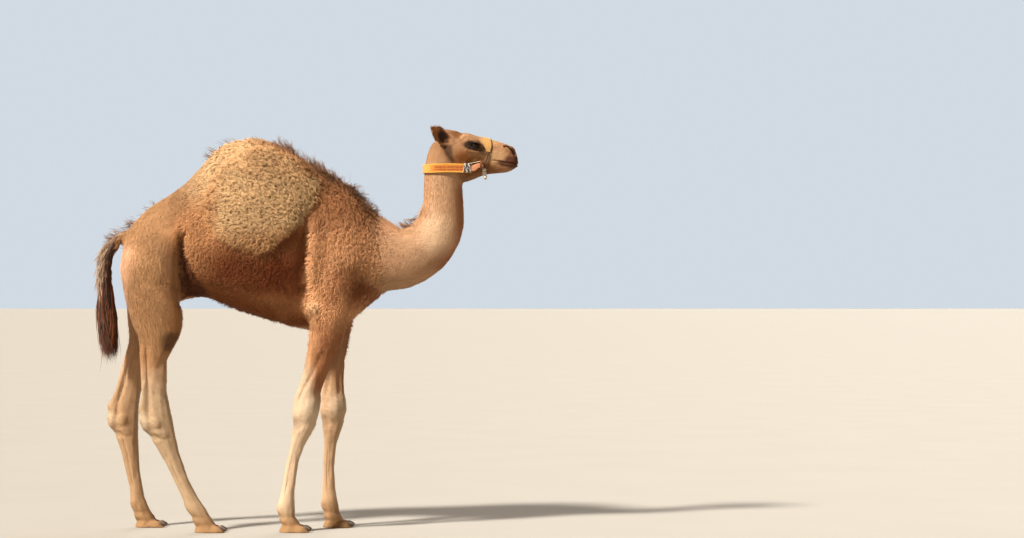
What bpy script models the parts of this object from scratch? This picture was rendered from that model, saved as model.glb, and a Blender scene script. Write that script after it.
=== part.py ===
"""A young dromedary camel standing in mid stride, life size, with a woven halter.

Metres, +Z up, +X towards the head, +Y to the camel's left, floor at z = 0.
The flesh is one closed skin made from lofted limbs and muscle masses, parted by thin cuts.
Every outline holds the outer face of the coat.
"""

import math

import bmesh
import bpy
from mathutils import Matrix, Vector
from mathutils.bvhtree import BVHTree
from mathutils.geometry import convex_hull_2d

# Mesh fineness
VOXEL = 0.0065
TRIANGLES_FIRST = 18000
TRIANGLES_FLESH = 3600
CUT_GAP = 0.0008
FIT_GAP = 0.0006
LEAST_VOLUME = 2e-6

# Trunk: x, crest height, belly height, half width, height of the widest place, pinch of the crest
TRUNK = (
    (-0.876, 1.360, 1.170, 0.050, 1.260, 1.0),
    (-0.846, 1.420, 1.110, 0.100, 1.250, 1.0),
    (-0.801, 1.471, 1.075, 0.148, 1.250, 1.0),
    (-0.736, 1.526, 1.050, 0.180, 1.250, 1.1),
    (-0.651, 1.579, 1.050, 0.190, 1.260, 1.2),
    (-0.566, 1.645, 1.078, 0.190, 1.280, 1.3),
    (-0.486, 1.735, 1.088, 0.198, 1.290, 1.4),
    (-0.407, 1.806, 1.060, 0.208, 1.290, 1.45),
    (-0.331, 1.832, 1.027, 0.216, 1.290, 1.45),
    (-0.251, 1.842, 1.003, 0.220, 1.290, 1.45),
    (-0.172, 1.825, 0.981, 0.220, 1.290, 1.45),
    (-0.087, 1.786, 0.957, 0.212, 1.290, 1.4),
    (-0.012, 1.738, 0.943, 0.198, 1.290, 1.35),
    (0.063, 1.690, 0.940, 0.182, 1.290, 1.3),
    (0.148, 1.652, 0.954, 0.170, 1.290, 1.25),
    (0.219, 1.602, 0.992, 0.152, 1.285, 1.2),
    (0.280, 1.530, 1.043, 0.130, 1.280, 1.1),
    (0.327, 1.466, 1.086, 0.108, 1.275, 1.0),
    (0.364, 1.430, 1.120, 0.080, 1.270, 1.0),
)

# Neck: x, y, z, half depth, half width, along a path that dips forward and turns up
NECK = (
    (0.251, 0.0, 1.296, 0.212, 0.120),
    (0.360, 0.0, 1.279, 0.168, 0.106),
    (0.454, 0.0, 1.270, 0.142, 0.094),
    (0.550, 0.0, 1.322, 0.130, 0.085),
    (0.614, 0.0, 1.415, 0.118, 0.078),
    (0.634, 0.0, 1.523, 0.101, 0.073),
    (0.632, 0.0, 1.607, 0.094, 0.070),
    (0.625, 0.0, 1.683, 0.086, 0.068),
    (0.626, 0.0, 1.753, 0.074, 0.064),
    (0.635, 0.0, 1.805, 0.056, 0.056),
)

# Head: x, crown height, jaw height, half widths at crown, temple, cheek and jaw
HEAD = (
    (0.590, 1.818, 1.716, 0.020, 0.036, 0.036, 0.020),
    (0.620, 1.852, 1.672, 0.034, 0.054, 0.054, 0.034),
    (0.660, 1.870, 1.650, 0.040, 0.063, 0.062, 0.042),
    (0.698, 1.871, 1.634, 0.042, 0.066, 0.064, 0.043),
    (0.736, 1.862, 1.632, 0.042, 0.068, 0.063, 0.041),
    (0.778, 1.852, 1.644, 0.038, 0.067, 0.057, 0.036),
    (0.815, 1.841, 1.659, 0.030, 0.054, 0.050, 0.032),
    (0.853, 1.832, 1.668, 0.025, 0.043, 0.044, 0.031),
    (0.891, 1.823, 1.671, 0.023, 0.039, 0.042, 0.032),
    (0.924, 1.811, 1.675, 0.024, 0.039, 0.043, 0.032),
    (0.950, 1.792, 1.682, 0.024, 0.037, 0.042, 0.030),
    (0.972, 1.765, 1.694, 0.020, 0.031, 0.034, 0.024),
    (0.985, 1.745, 1.708, 0.012, 0.019, 0.020, 0.012),
)
HEAD_LEVELS = (0.08, 0.34, 0.62, 0.90)

# Masses laid on the lofts, on both sides: x, y, z, then half sizes along x, y and z, then pitch in degrees
MASSES = (
    (0.776, 0.061, 1.818, 0.036, 0.017, 0.019, 12),  # brow and upper rim of the orbit
    (0.760, 0.060, 1.775, 0.034, 0.014, 0.012, 10),  # cheek bone
    (0.712, 0.050, 1.700, 0.046, 0.018, 0.050, 20),  # cheek muscle
    (0.936, 0.027, 1.782, 0.026, 0.018, 0.018, 35),  # nostril wing
    (0.948, 0.022, 1.736, 0.036, 0.022, 0.024, 10),  # upper lip lobe
    (0.925, 0.012, 1.690, 0.034, 0.020, 0.014, -8),  # chin
    (0.655, 0.018, 1.858, 0.036, 0.026, 0.016, 0),  # poll tuft
    (0.200, 0.055, 1.130, 0.080, 0.070, 0.110, 20),  # breast
    (0.160, 0.085, 1.330, 0.090, 0.085, 0.190, -12),  # shoulder blade
    (-0.690, 0.075, 1.330, 0.120, 0.100, 0.140, 20),  # haunch
    (-0.790, 0.065, 1.380, 0.050, 0.050, 0.050, 0),  # pin bone
)
BRISKET_PAD = (0.030, 0.0, 0.972, 0.085, 0.065, 0.036, -3)

# Leg shapes, shoulder or hip down to the fetlock: distance from the mid plane, height, half depth, half width
FORE_SHAPE = (
    (0.088, 1.400, 0.110, 0.060),
    (0.108, 1.260, 0.120, 0.074),
    (0.120, 1.100, 0.104, 0.072),
    (0.120, 1.006, 0.097, 0.064),
    (0.117, 0.910, 0.084, 0.056),
    (0.112, 0.803, 0.067, 0.047),
    (0.108, 0.702, 0.057, 0.042),
    (0.106, 0.630, 0.059, 0.045),
    (0.105, 0.558, 0.063, 0.048),
    (0.105, 0.500, 0.056, 0.043),
    (0.105, 0.427, 0.039, 0.034),
    (0.106, 0.355, 0.031, 0.027),
    (0.107, 0.260, 0.030, 0.026),
    (0.108, 0.172, 0.033, 0.028),
    (0.109, 0.103, 0.041, 0.037),
    (0.110, 0.050, 0.038, 0.041),
)
HIND_SHAPE = (
    (0.080, 1.360, 0.120, 0.070),
    (0.108, 1.241, 0.133, 0.086),
    (0.116, 1.123, 0.134, 0.087),
    (0.120, 1.020, 0.131, 0.078),
    (0.122, 0.946, 0.120, 0.068),
    (0.121, 0.876, 0.090, 0.056),
    (0.119, 0.806, 0.067, 0.046),
    (0.117, 0.728, 0.062, 0.039),
    (0.116, 0.635, 0.063, 0.035),
    (0.115, 0.557, 0.074, 0.040),
    (0.115, 0.499, 0.071, 0.042),
    (0.115, 0.432, 0.056, 0.036),
    (0.115, 0.363, 0.044, 0.031),
    (0.115, 0.278, 0.036, 0.028),
    (0.116, 0.194, 0.032, 0.028),
    (0.117, 0.125, 0.035, 0.031),
    (0.118, 0.083, 0.041, 0.038),
    (0.118, 0.049, 0.039, 0.042),
)

# The stride: how far forward each leg stands at each place of its shape
FORE_RIGHT_X = (
    0.150, 0.146, 0.124, 0.110, 0.092, 0.062, 0.029, 0.007, -0.004, -0.010, -0.033, -0.055, -0.074, -0.086,
    -0.091, -0.086,
)
FORE_LEFT_X = (
    0.150, 0.146, 0.126, 0.114, 0.106, 0.103, 0.104, 0.106, 0.106, 0.105, 0.097, 0.090, 0.085, 0.088, 0.094,
    0.098,
)
HIND_RIGHT_X = (
    -0.730, -0.737, -0.722, -0.696, -0.686, -0.693, -0.705, -0.706, -0.704, -0.701, -0.684, -0.657, -0.629,
    -0.593, -0.556, -0.519, -0.496, -0.478,
)
HIND_LEFT_X = (
    -0.740, -0.750, -0.752, -0.752, -0.764, -0.787, -0.816, -0.844, -0.868, -0.888, -0.885, -0.871, -0.859,
    -0.846, -0.830, -0.818, -0.807, -0.794,
)

# Joints that stand out from the loft: offsets in x, outwards and in z from a station, then half sizes
HOCK_POINT = (-0.058, 0.0, 0.020, 0.020, 0.022, 0.034)
ELBOW = (-0.086, 0.022, 0.038, 0.034, 0.030, 0.044)

# Feet
FOOT = {"pad": (0.056, 0.053, 0.040), "toe": (0.054, 0.028, 0.034), "toe_ahead": 0.056, "toe_apart": 0.026}
TOE_SPLAY = 7.0
NAIL = (0.017, 0.012, 0.012)
FLOOR_CUT = 0.3

# Tail: x, y, z, half depth, half width
TAIL = (
    (-0.835, 0.0, 1.392, 0.026, 0.028),
    (-0.888, 0.0, 1.375, 0.030, 0.030),
    (-0.932, 0.0, 1.316, 0.031, 0.028),
    (-0.951, 0.0, 1.246, 0.030, 0.027),
    (-0.955, 0.0, 1.161, 0.031, 0.028),
    (-0.948, 0.0, 1.067, 0.036, 0.031),
    (-0.945, 0.0, 0.973, 0.042, 0.036),
    (-0.944, 0.0, 0.888, 0.044, 0.036),
    (-0.936, 0.0, 0.835, 0.028, 0.024),
    (-0.926, 0.0, 0.803, 0.006, 0.006),
)
SWITCH_Z = 1.035

# Ears: a leaf from root to tip, cupped towards the side
EAR_ROOT = Vector((0.655, 0.050, 1.806))
EAR_TIP = Vector((0.583, 0.088, 1.884))
EAR_HALF_WIDTH = 0.031
EAR_CUP = 0.016
EAR_THICK = 0.009

# Eyes
EYE_CENTRE = Vector((0.780, 0.0585, 1.798))
EYE_RADIUS = 0.0195

# Hump fleece: a thick pad of wool on each flank, outlined in side view as x and z
FLEECE_LINE = (
    (0.067, 1.617), (0.047, 1.549), (-0.017, 1.439), (-0.108, 1.355), (-0.160, 1.310), (-0.211, 1.298),
    (-0.315, 1.326), (-0.405, 1.368), (-0.476, 1.471), (-0.483, 1.523), (-0.418, 1.646), (-0.308, 1.763),
    (-0.223, 1.789), (-0.145, 1.776), (-0.066, 1.737), (0.004, 1.681),
)
FLEECE = {"proud": 0.024, "edge": 0.012, "rear": (-0.50, -0.36)}

# Hollows ahead of the thigh and behind the shoulder, and the muscle edges beside them, as lines in side view
HOLLOWS = {
    "lines": (
        ((-0.572, 1.38), (-0.574, 1.24), (-0.566, 1.10)),
        ((0.004, 1.47), (0.004, 1.30), (-0.002, 1.12)),
    ),
    "wide": 0.022,
    "proud": -0.018,
}
EDGES = {
    "lines": (
        ((-0.612, 1.38), (-0.616, 1.24), (-0.606, 1.10)),
        ((0.048, 1.47), (0.050, 1.30), (0.044, 1.12)),
    ),
    "wide": 0.026,
    "proud": 0.006,
}

# Halter
STRAP_Z = 1.692
STRAP_WIDE = 0.042
STRAP_THICK = 0.0035
STRAP_CLEAR = 0.0016
STRAP_FRONT = 0.765
CHEEK_STRAP_END = 0.800
CHEEK_STRAP_WIDE = 0.028
KNOT = (0.812, 0.0, 1.706, 0.012)
NOSEBAND_X = 0.836
NOSEBAND_WIDE = 0.042
NOSEBAND_TIP_WIDE = 0.016
NOSEBAND_DROP = 72.0
CORD_RADIUS = 0.0035
TASSEL = (
    (0.8225, 1.694, 0.005),
    (0.8260, 1.686, 0.011),
    (0.8270, 1.676, 0.008),
    (0.8285, 1.667, 0.012),
    (0.8300, 1.657, 0.008),
    (0.8315, 1.650, 0.011),
    (0.8330, 1.642, 0.004),
)

COLOURS = {
    "coat": ((0.50, 0.31, 0.18), 0.9),
    "wool": ((0.58, 0.41, 0.25), 0.95),
    "leg": ((0.66, 0.50, 0.34), 0.9),
    "tail_hair": ((0.13, 0.07, 0.045), 0.85),
    "eye": ((0.02, 0.012, 0.01), 0.1),
    "nail": ((0.08, 0.055, 0.04), 0.5),
    "strap": ((0.72, 0.33, 0.08), 0.85),
    "cord": ((0.62, 0.54, 0.42), 0.9),
}


def material(name, finish):
    """A material of one piece's own, in one of the named finishes."""
    colour, roughness = COLOURS[finish]
    made = bpy.data.materials.new(name)
    made.use_nodes = True
    shader = made.node_tree.nodes["Principled BSDF"]
    shader.inputs["Base Color"].default_value = (*colour, 1)
    shader.inputs["Roughness"].default_value = roughness
    return made


def add_object(name, mesh, finish=None):
    obj = bpy.data.objects.new(name, mesh)
    bpy.context.scene.collection.objects.link(obj)
    if finish:
        mesh.materials.clear()
        mesh.materials.append(material(name, finish))
    return obj


def mesh_from(bm, name):
    bmesh.ops.recalc_face_normals(bm, faces=bm.faces)
    mesh = bpy.data.meshes.new(name)
    bm.to_mesh(mesh)
    bm.free()
    return mesh


def settled(obj):
    """Replaces an object's mesh by what its modifiers make of it."""
    bpy.context.view_layer.update()
    evaluated = obj.evaluated_get(bpy.context.evaluated_depsgraph_get())
    mesh = bpy.data.meshes.new_from_object(evaluated)
    obj.modifiers.clear()
    obj.data = mesh
    return obj


def drop(obj):
    bpy.data.objects.remove(obj)


def smooth_step(low, high, value):
    t = min(1.0, max(0.0, (value - low) / (high - low)))
    return t * t * (3 - 2 * t)


def spline(stations, steps):
    """Stations filled in by a Catmull-Rom curve, with steps places in each span."""

    def between(p, q, r, s, t):
        bend = 2 * p - 5 * q + 4 * r - s
        twist = 3 * q - p - 3 * r + s
        return 0.5 * (2 * q + (r - p) * t + bend * t**2 + twist * t**3)

    ends = [stations[0]] + list(stations) + [stations[-1]]
    filled = []
    for four in zip(ends, ends[1:], ends[2:], ends[3:]):
        for step in range(steps):
            filled.append(tuple(between(*column, step / steps) for column in zip(*four)))
    filled.append(tuple(stations[-1]))
    return filled


def skin_rings(bm, rings):
    """A closed tube through rings of points, capped at both ends."""
    made = [[bm.verts.new(point) for point in ring] for ring in rings]
    for near, far in zip(made, made[1:]):
        for k in range(len(near)):
            n = (k + 1) % len(near)
            bm.faces.new((near[k], near[n], far[n], far[k]))
    bm.faces.new(made[0][::-1])
    bm.faces.new(made[-1])


def loft_limb(bm, stations, side=1, around=28, steps=4):
    """A limb: oval rings square to a path that lies in a plane of constant y."""
    places = spline(stations, steps)
    rings = []
    for i, (x, y, z, deep, wide) in enumerate(places):
        before = places[max(i - 1, 0)]
        after = places[min(i + 1, len(places) - 1)]
        along = Vector((after[0] - before[0], 0, after[2] - before[2])).normalized()
        across = Vector((along.z, 0, -along.x))
        centre = Vector((x, y * side, z))
        turn = [math.tau * k / around for k in range(around)]
        side_step = Vector((0, wide, 0))
        rings.append([centre + across * deep * math.cos(a) + side_step * math.sin(a) for a in turn])
    skin_rings(bm, rings)


def loft_trunk(bm, around=44, steps=3):
    """The barrel and hump: upright egg-shaped sections, pinched towards the crest."""
    rings = []
    for x, top, bottom, wide, level, pinch in spline(TRUNK, steps):
        ring = []
        for k in range(around):
            a = math.tau * k / around
            rise = math.sin(a)
            reach = abs(math.cos(a)) ** (pinch if rise > 0 else 0.85)
            z = level + rise * (top - level if rise > 0 else level - bottom)
            ring.append(Vector((x, math.copysign(wide * reach, math.cos(a)), z)))
        rings.append(ring)
    skin_rings(bm, rings)


def loft_head(bm, steps=4, arc=4):
    """The skull and muzzle: upright sections shaped by crown, temple, cheek and jaw widths."""
    rings = []
    for x, top, bottom, *widths in spline(HEAD, steps):
        side = [(0.0, top)]
        side += [(wide, top - (top - bottom) * level) for wide, level in zip(widths, HEAD_LEVELS)]
        side += [(0.0, bottom)]
        around = side + [(-y, z) for y, z in side[-2:0:-1]]
        closed = spline(around[-1:] + around + around[:2], arc)[arc:-arc - 1]
        rings.append([Vector((x, y, z)) for y, z in closed])
    skin_rings(bm, rings)


def add_mass(bm, x, y, z, along, across, up, pitch=0.0, turn=0.0, around=28):
    """A muscle mass: an ellipsoid, pitched about Y and turned about Z."""
    place = Matrix.Translation((x, y, z)) @ Matrix.Rotation(math.radians(turn), 4, "Z")
    place = place @ Matrix.Rotation(math.radians(pitch), 4, "Y") @ Matrix.Diagonal((along, across, up, 1))
    bmesh.ops.create_uvsphere(bm, u_segments=around, v_segments=around * 4 // 7, radius=1, matrix=place)


def add_foot(bm, x, y):
    """A broad pad with two toes, reaching under the floor, where it is sliced flat."""
    add_mass(bm, x + 0.016, y, 0.0, *FOOT["pad"])
    for apart in (-1, 1):
        toe_x = x + FOOT["toe_ahead"]
        add_mass(bm, toe_x, y + apart * FOOT["toe_apart"], 0.0, *FOOT["toe"], 0, apart * TOE_SPLAY)
    add_mass(bm, x + 0.014, y, 0.042, 0.046, 0.041, 0.036, 35)


def placed(shape, forward):
    """Full stations of a leg: x, y, z, half depth, half width."""
    return [(x, *station) for x, station in zip(forward, shape)]


LEGS = {
    "fore_leg_right": (placed(FORE_SHAPE, FORE_RIGHT_X), -1),
    "fore_leg_left": (placed(FORE_SHAPE, FORE_LEFT_X), 1),
    "hind_leg_right": (placed(HIND_SHAPE, HIND_RIGHT_X), -1),
    "hind_leg_left": (placed(HIND_SHAPE, HIND_LEFT_X), 1),
}


def softness(co):
    """How far the junctions are smoothed: fully on the trunk, little on legs and head."""
    trunk = smooth_step(0.88, 1.06, co.z) * (1 - smooth_step(0.50, 0.62, co.x))
    return 0.22 + 0.78 * trunk


def line_distance(x, z, path):
    """The distance from a place in side view to a line of places."""
    best = math.inf
    for (ax, az), (bx, bz) in zip(path, path[1:]):
        dx, dz = bx - ax, bz - az
        t = min(1.0, max(0.0, ((x - ax) * dx + (z - az) * dz) / (dx * dx + dz * dz)))
        best = min(best, math.hypot(x - ax - t * dx, z - az - t * dz))
    return best


def within(x, z, outline):
    """Whether a place in side view lies inside a closed outline."""
    inside = False
    for (ax, az), (bx, bz) in zip(outline, outline[1:] + outline[:1]):
        if (az > z) != (bz > z) and x < ax + (z - az) * (bx - ax) / (bz - az):
            inside = not inside
    return inside


def fleece_share(co, normal):
    """1 inside the fleece's outline in side view, falling to 0 over its edge, and 0 on faces that look up."""
    reach = line_distance(co.x, co.z, FLEECE_LINE + FLEECE_LINE[:1])
    reach = reach if within(co.x, co.z, FLEECE_LINE) else -reach
    inside = smooth_step(-FLEECE["edge"], FLEECE["edge"], reach)
    return inside * smooth_step(*FLEECE["rear"], co.x) * smooth_step(0.25, 0.75, abs(normal.y))


def relief_share(co, relief):
    """1 along the lines of a relief on the body's sides, falling off over its width."""
    reach = min(line_distance(co.x, co.z, line) for line in relief["lines"])
    return math.exp(-((reach / relief["wide"]) ** 2)) * smooth_step(0.05, 0.10, abs(co.y))


def fill_group(obj, name, share):
    group = obj.vertex_groups.new(name=name)
    for v in obj.data.vertices:
        weight = share(v)
        if weight > 0:
            group.add([v.index], min(1.0, weight), "REPLACE")
    return name


def make_flesh():
    """The whole body as one closed skin, without ears, eyes, nails and tail."""
    bm = bmesh.new()
    loft_trunk(bm)
    loft_limb(bm, NECK)
    loft_head(bm)
    for x, y, z, *rest in MASSES:
        for side in (-1, 1):
            add_mass(bm, x, y * side, z, *rest)
    add_mass(bm, *BRISKET_PAD)
    for name, (stations, side) in LEGS.items():
        loft_limb(bm, stations, side)
        foot_x, foot_y = stations[-1][0], stations[-1][1] * side
        add_foot(bm, foot_x, foot_y)
        dx, out, dz, *size = HOCK_POINT if "hind" in name else ELBOW
        joint = stations[9] if "hind" in name else stations[3]
        add_mass(bm, joint[0] + dx, (joint[1] + out) * side, joint[2] + dz, *size, 25)
    body = add_object("flesh", mesh_from(bm, "flesh"))

    remesh = body.modifiers.new("One skin", "REMESH")
    remesh.mode = "VOXEL"
    remesh.voxel_size = VOXEL
    settled(body)

    smooth = body.modifiers.new("Soften junctions", "SMOOTH")
    smooth.factor = 0.5
    smooth.iterations = 24
    smooth.vertex_group = fill_group(body, "soft", lambda v: softness(v.co))
    settled(body)

    raised = (
        ("fleece", FLEECE["proud"], lambda v: fleece_share(v.co, v.normal)),
        ("hollows", HOLLOWS["proud"], lambda v: relief_share(v.co, HOLLOWS)),
        ("edges", EDGES["proud"], lambda v: relief_share(v.co, EDGES)),
    )
    for name, proud, share in raised:
        displace = body.modifiers.new("Shape the " + name, "DISPLACE")
        displace.mid_level = 0
        displace.strength = proud
        displace.vertex_group = fill_group(body, name, share)
        settled(body)
    return thinned(body)


def triangle_count(mesh):
    return sum(len(p.vertices) - 2 for p in mesh.polygons)


def thinned(body):
    """Fewer triangles: evenly at first, then only away from the head."""
    even = body.modifiers.new("Even", "DECIMATE")
    even.ratio = TRIANGLES_FIRST / triangle_count(body.data)
    settled(body)

    def plain(v):
        return 1 - 0.8 * smooth_step(0.62, 0.70, v.co.x) * smooth_step(1.60, 1.64, v.co.z)

    rest = body.modifiers.new("Plain parts", "DECIMATE")
    rest.vertex_group = fill_group(body, "plain", plain)
    rest.vertex_group_factor = 1.0
    rest.ratio = TRIANGLES_FLESH / triangle_count(body.data)
    return settled(body)


# Cutters


def plate(name, centre, along, size, thick=CUT_GAP):
    """A thin plate that cuts across the XZ plane; along is its direction in that plane."""
    bm = bmesh.new()
    angle = math.atan2(along[1], along[0])
    place = Matrix.Translation(centre) @ Matrix.Rotation(-angle, 4, "Y")
    bmesh.ops.create_cube(bm, size=1, matrix=place @ Matrix.Diagonal((size[0], size[1], thick, 1)))
    return add_object(name, mesh_from(bm, name))


def prism_shell(name, outline, low, high):
    """A hollow prism with thin walls: an outline in the XZ plane, carried from y = low to y = high."""
    bm = bmesh.new()
    near = [bm.verts.new((x, low, z)) for x, z in outline]
    face = bm.faces.new(near)
    carried = bmesh.ops.extrude_face_region(bm, geom=[face])
    moved = [v for v in carried["geom"] if isinstance(v, bmesh.types.BMVert)]
    bmesh.ops.translate(bm, verts=moved, vec=(0, high - low, 0))
    shell = add_object(name, mesh_from(bm, name))
    walls = shell.modifiers.new("Walls", "SOLIDIFY")
    walls.thickness = CUT_GAP
    walls.offset = 0
    return settled(shell)


def cut(body, cutter):
    """Takes a cutter away from a body, and removes the cutter."""
    boolean = body.modifiers.new("Cut", "BOOLEAN")
    boolean.operation = "DIFFERENCE"
    boolean.solver = "EXACT"
    boolean.object = cutter
    settled(body)
    drop(cutter)


def grown(source, by):
    """A copy of a solid, swollen along its normals."""
    copy = bpy.data.objects.new("grown", source.data.copy())
    bpy.context.scene.collection.objects.link(copy)
    swell = copy.modifiers.new("Swell", "DISPLACE")
    swell.mid_level = 0
    swell.strength = by
    return settled(copy)


FORE_PRISM = ((-0.022, 1.122), (0.205, 1.060), (0.245, 0.960), (0.245, -0.05), (-0.20, -0.05), (-0.20, 0.60),
              (-0.045, 0.90), (-0.024, 0.98))
HIND_PRISM = ((-0.585, 1.075), (-0.920, 1.170), (-1.000, 1.170), (-1.020, -0.05), (-0.360, -0.05),
              (-0.360, 0.30), (-0.540, 0.90))


def across_leg(stations, index):
    """A plate's centre and direction, square to a leg at one of its stations."""
    before, here, after = stations[index - 1], stations[index], stations[index + 1]
    return here[:3], (-(after[2] - before[2]), after[0] - before[0])


def box_of(obj):
    points = [v.co for v in obj.data.vertices]
    return [(min(p[axis] for p in points), max(p[axis] for p in points)) for axis in range(3)]


def parted(pieces, cutter):
    """Cuts every piece that a cutter reaches, and lists the closed pieces that are left."""
    reach = box_of(cutter)
    left = []
    for piece in pieces:
        if any(a[1] < b[0] or b[1] < a[0] for a, b in zip(reach, box_of(piece))):
            left.append(piece)
            continue
        cut(piece, grown(cutter, 0.0))
        for part in loose_parts(piece):
            left.append(add_object("flesh", mesh_from(part, "flesh")))
        drop(piece)
    drop(cutter)
    return left


def part_flesh(body):
    """Slices the soles flat and parts the skin by thin cuts."""
    bm = bmesh.new()
    under = Matrix.Translation((0, 0, -FLOOR_CUT / 2)) @ Matrix.Diagonal((3, 2, FLOOR_CUT, 1))
    bmesh.ops.create_cube(bm, size=1, matrix=under)
    cut(body, add_object("under", mesh_from(bm, "under")))

    cutters = [
        plate("behind_head", (0.645, 0, 1.725), (0.19, -0.24), (0.42, 0.4)),
        plate("neck_bend", (0.616, 0, 1.412), (0.174, -0.174), (0.40, 0.4)),
        plate("neck_root", (0.345, 0, 1.283), (0.03, -1.0), (0.62, 0.5)),
        plate("mouth", (0.940, 0, 1.7225), (0.105, -0.014), (0.150, 0.3)),
        plate("jaw_back", (0.800, 0, 1.669), (0.13, 0.124), (0.190, 0.3)),
        plate("hump_base", (-0.250, 0, 1.622), (1, 0.10), (0.84, 0.7)),
    ]
    for name, (stations, side) in LEGS.items():
        outline, inner = (HIND_PRISM, 0.012) if "hind" in name else (FORE_PRISM, 0.046)
        low, high = sorted((side * inner, side * 0.40))
        cutters.append(prism_shell("leg_root", outline, low, high))
        (x, y, z), direction = across_leg(stations, 9 if "hind" in name else 8)
        cutters.append(plate("joint", (x, y * side, z), direction, (0.24, 0.16)))
    pieces = [body]
    for cutter in cutters:
        pieces = parted(pieces, cutter)
    return pieces


def loose_parts(body):
    """Every separate closed piece of a mesh, as a list of meshes."""
    source = bmesh.new()
    source.from_mesh(body.data)
    bmesh.ops.remove_doubles(source, verts=source.verts, dist=1e-6)
    left = set(source.verts)
    parts = []
    while left:
        group, edge = set(), [left.pop()]
        while edge:
            v = edge.pop()
            if v in group:
                continue
            group.add(v)
            edge.extend(e.other_vert(v) for e in v.link_edges)
        left -= group
        part = bmesh.new()
        twin = {v: part.verts.new(v.co) for v in group}
        for face in {f for v in group for f in v.link_faces}:
            part.faces.new([twin[v] for v in face.verts])
        parts.append(part)
    source.free()
    return parts


def named_anchors():
    """Where the middle of each named piece of flesh lies."""
    anchors = {
        "head": (0.78, 0, 1.77, "coat"),
        "lower_jaw": (0.86, 0, 1.69, "coat"),
        "neck_upper": (0.63, 0, 1.60, "coat"),
        "neck_lower": (0.48, 0, 1.28, "coat"),
        "trunk": (-0.25, 0, 1.25, "coat"),
        "hump": (-0.25, 0, 1.72, "wool"),
    }
    for name, (stations, side) in LEGS.items():
        kind, _, hand = name.partition("_leg_")
        for part, index, finish in (("upper", 5, "coat"), ("lower", -3, "leg")):
            x, y, z = stations[index][:3]
            anchors[f"{kind}_leg_{hand}_{part}"] = (x, y * side, z, finish)
    return anchors


def name_parts(pieces):
    """Gives each piece the name of the nearest anchor."""
    anchors = named_anchors()
    made = {}
    for piece in pieces:
        faces = piece.data.polygons
        area = sum(f.area for f in faces)
        middle = sum((f.center * f.area for f in faces), Vector()) / area
        name = min(anchors, key=lambda n: (Vector(anchors[n][:3]) - middle).length)
        made[name] = add_object(name, piece.data, anchors.pop(name)[3])
        drop(piece)
    if anchors:
        raise RuntimeError(f"no piece was found for {sorted(anchors)}")
    return made


# Pieces set beside the flesh


def make_tail(body):
    """The tail and its switch, fitted to the rump and parted above the long hair."""
    bm = bmesh.new()
    loft_limb(bm, TAIL, around=12, steps=2)
    tail = add_object("tail", mesh_from(bm, "tail"), "tail_hair")
    cut(tail, grown(body, FIT_GAP))
    cut(tail, plate("switch_cut", (-0.95, 0, SWITCH_Z), (1, 0), (0.3, 0.3)))
    parts = [p for p in loose_parts(tail) if p.calc_volume() > LEAST_VOLUME]
    parts.sort(key=lambda p: -max(v.co.z for v in p.verts))
    drop(tail)
    for name, part in zip(("tail", "tail_switch"), parts):
        add_object(name, mesh_from(part, name), "tail_hair")


def make_ear(name, side, body, along=8, around=8):
    """A cupped leaf: crescent sections from the root to a rounded tip."""
    root = Vector((EAR_ROOT.x, EAR_ROOT.y * side, EAR_ROOT.z))
    tip = Vector((EAR_TIP.x, EAR_TIP.y * side, EAR_TIP.z))
    axis = (tip - root).normalized()
    outward = Vector((0.25, side, 0.05))
    outward = (outward - axis * outward.dot(axis)).normalized()
    width = axis.cross(outward)
    rings = []
    for i in range(along + 1):
        t = i / along
        swell = 0.50 + 0.62 * math.sin(math.pi * min(1, t * 0.92 + 0.10))
        spread = EAR_HALF_WIDTH * swell * (1 - t**6) ** 0.5
        spread = max(spread, 0.004)
        cup = EAR_CUP * (1 - 0.5 * t)
        thick = EAR_THICK * (1 - 0.45 * t)
        centre = root + (tip - root) * (t * 1.10 - 0.10)
        ring = []
        for k in range(around):
            a = math.tau * k / around
            across = math.cos(a)
            bend = cup * (across**2 - 0.5) + thick / 2 * math.sin(a)
            ring.append(centre + width * spread * across + outward * bend)
        rings.append(ring)
    bm = bmesh.new()
    skin_rings(bm, rings)
    ear = add_object(name, mesh_from(bm, name), "coat")
    cut(ear, grown(body, FIT_GAP))
    keep_largest(ear)


def keep_largest(obj):
    """Drops the slivers that a fit can leave on the far side of a piece."""
    parts = loose_parts(obj)
    parts.sort(key=lambda p: -abs(p.calc_volume()))
    obj.data = mesh_from(parts[0], obj.name)
    for part in parts[1:]:
        part.free()


def make_eye(name, side):
    bm = bmesh.new()
    centre = Matrix.Translation((EYE_CENTRE.x, EYE_CENTRE.y * side, EYE_CENTRE.z))
    upright = Matrix.Rotation(math.radians(90), 4, "X")
    bmesh.ops.create_uvsphere(bm, u_segments=14, v_segments=8, radius=EYE_RADIUS, matrix=centre @ upright)
    return add_object(name, mesh_from(bm, name), "eye")


def make_nails(parts):
    """Two nails on each foot, let into the toes."""
    for name, (stations, side) in LEGS.items():
        kind, _, hand = name.partition("_leg_")
        leg = parts[f"{kind}_leg_{hand}_lower"]
        x, y = stations[-1][0], stations[-1][1] * side
        for label, apart in (("inner", -side), ("outer", side)):
            toe_x = x + FOOT["toe_ahead"] + FOOT["toe"][0] - 0.016
            toe_y = y + apart * (FOOT["toe_apart"] + 0.005)
            nail_name = f"nail_{kind}_{hand}_{label}"
            bm = bmesh.new()
            place = Matrix.Translation((toe_x, toe_y, 0.018)) @ Matrix.Rotation(math.radians(30), 4, "Y")
            bmesh.ops.create_uvsphere(
                bm, u_segments=8, v_segments=6, radius=1, matrix=place @ Matrix.Diagonal((*NAIL, 1))
            )
            nail = add_object(nail_name, mesh_from(bm, nail_name), "nail")
            cut(leg, grown(nail, FIT_GAP))


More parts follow.
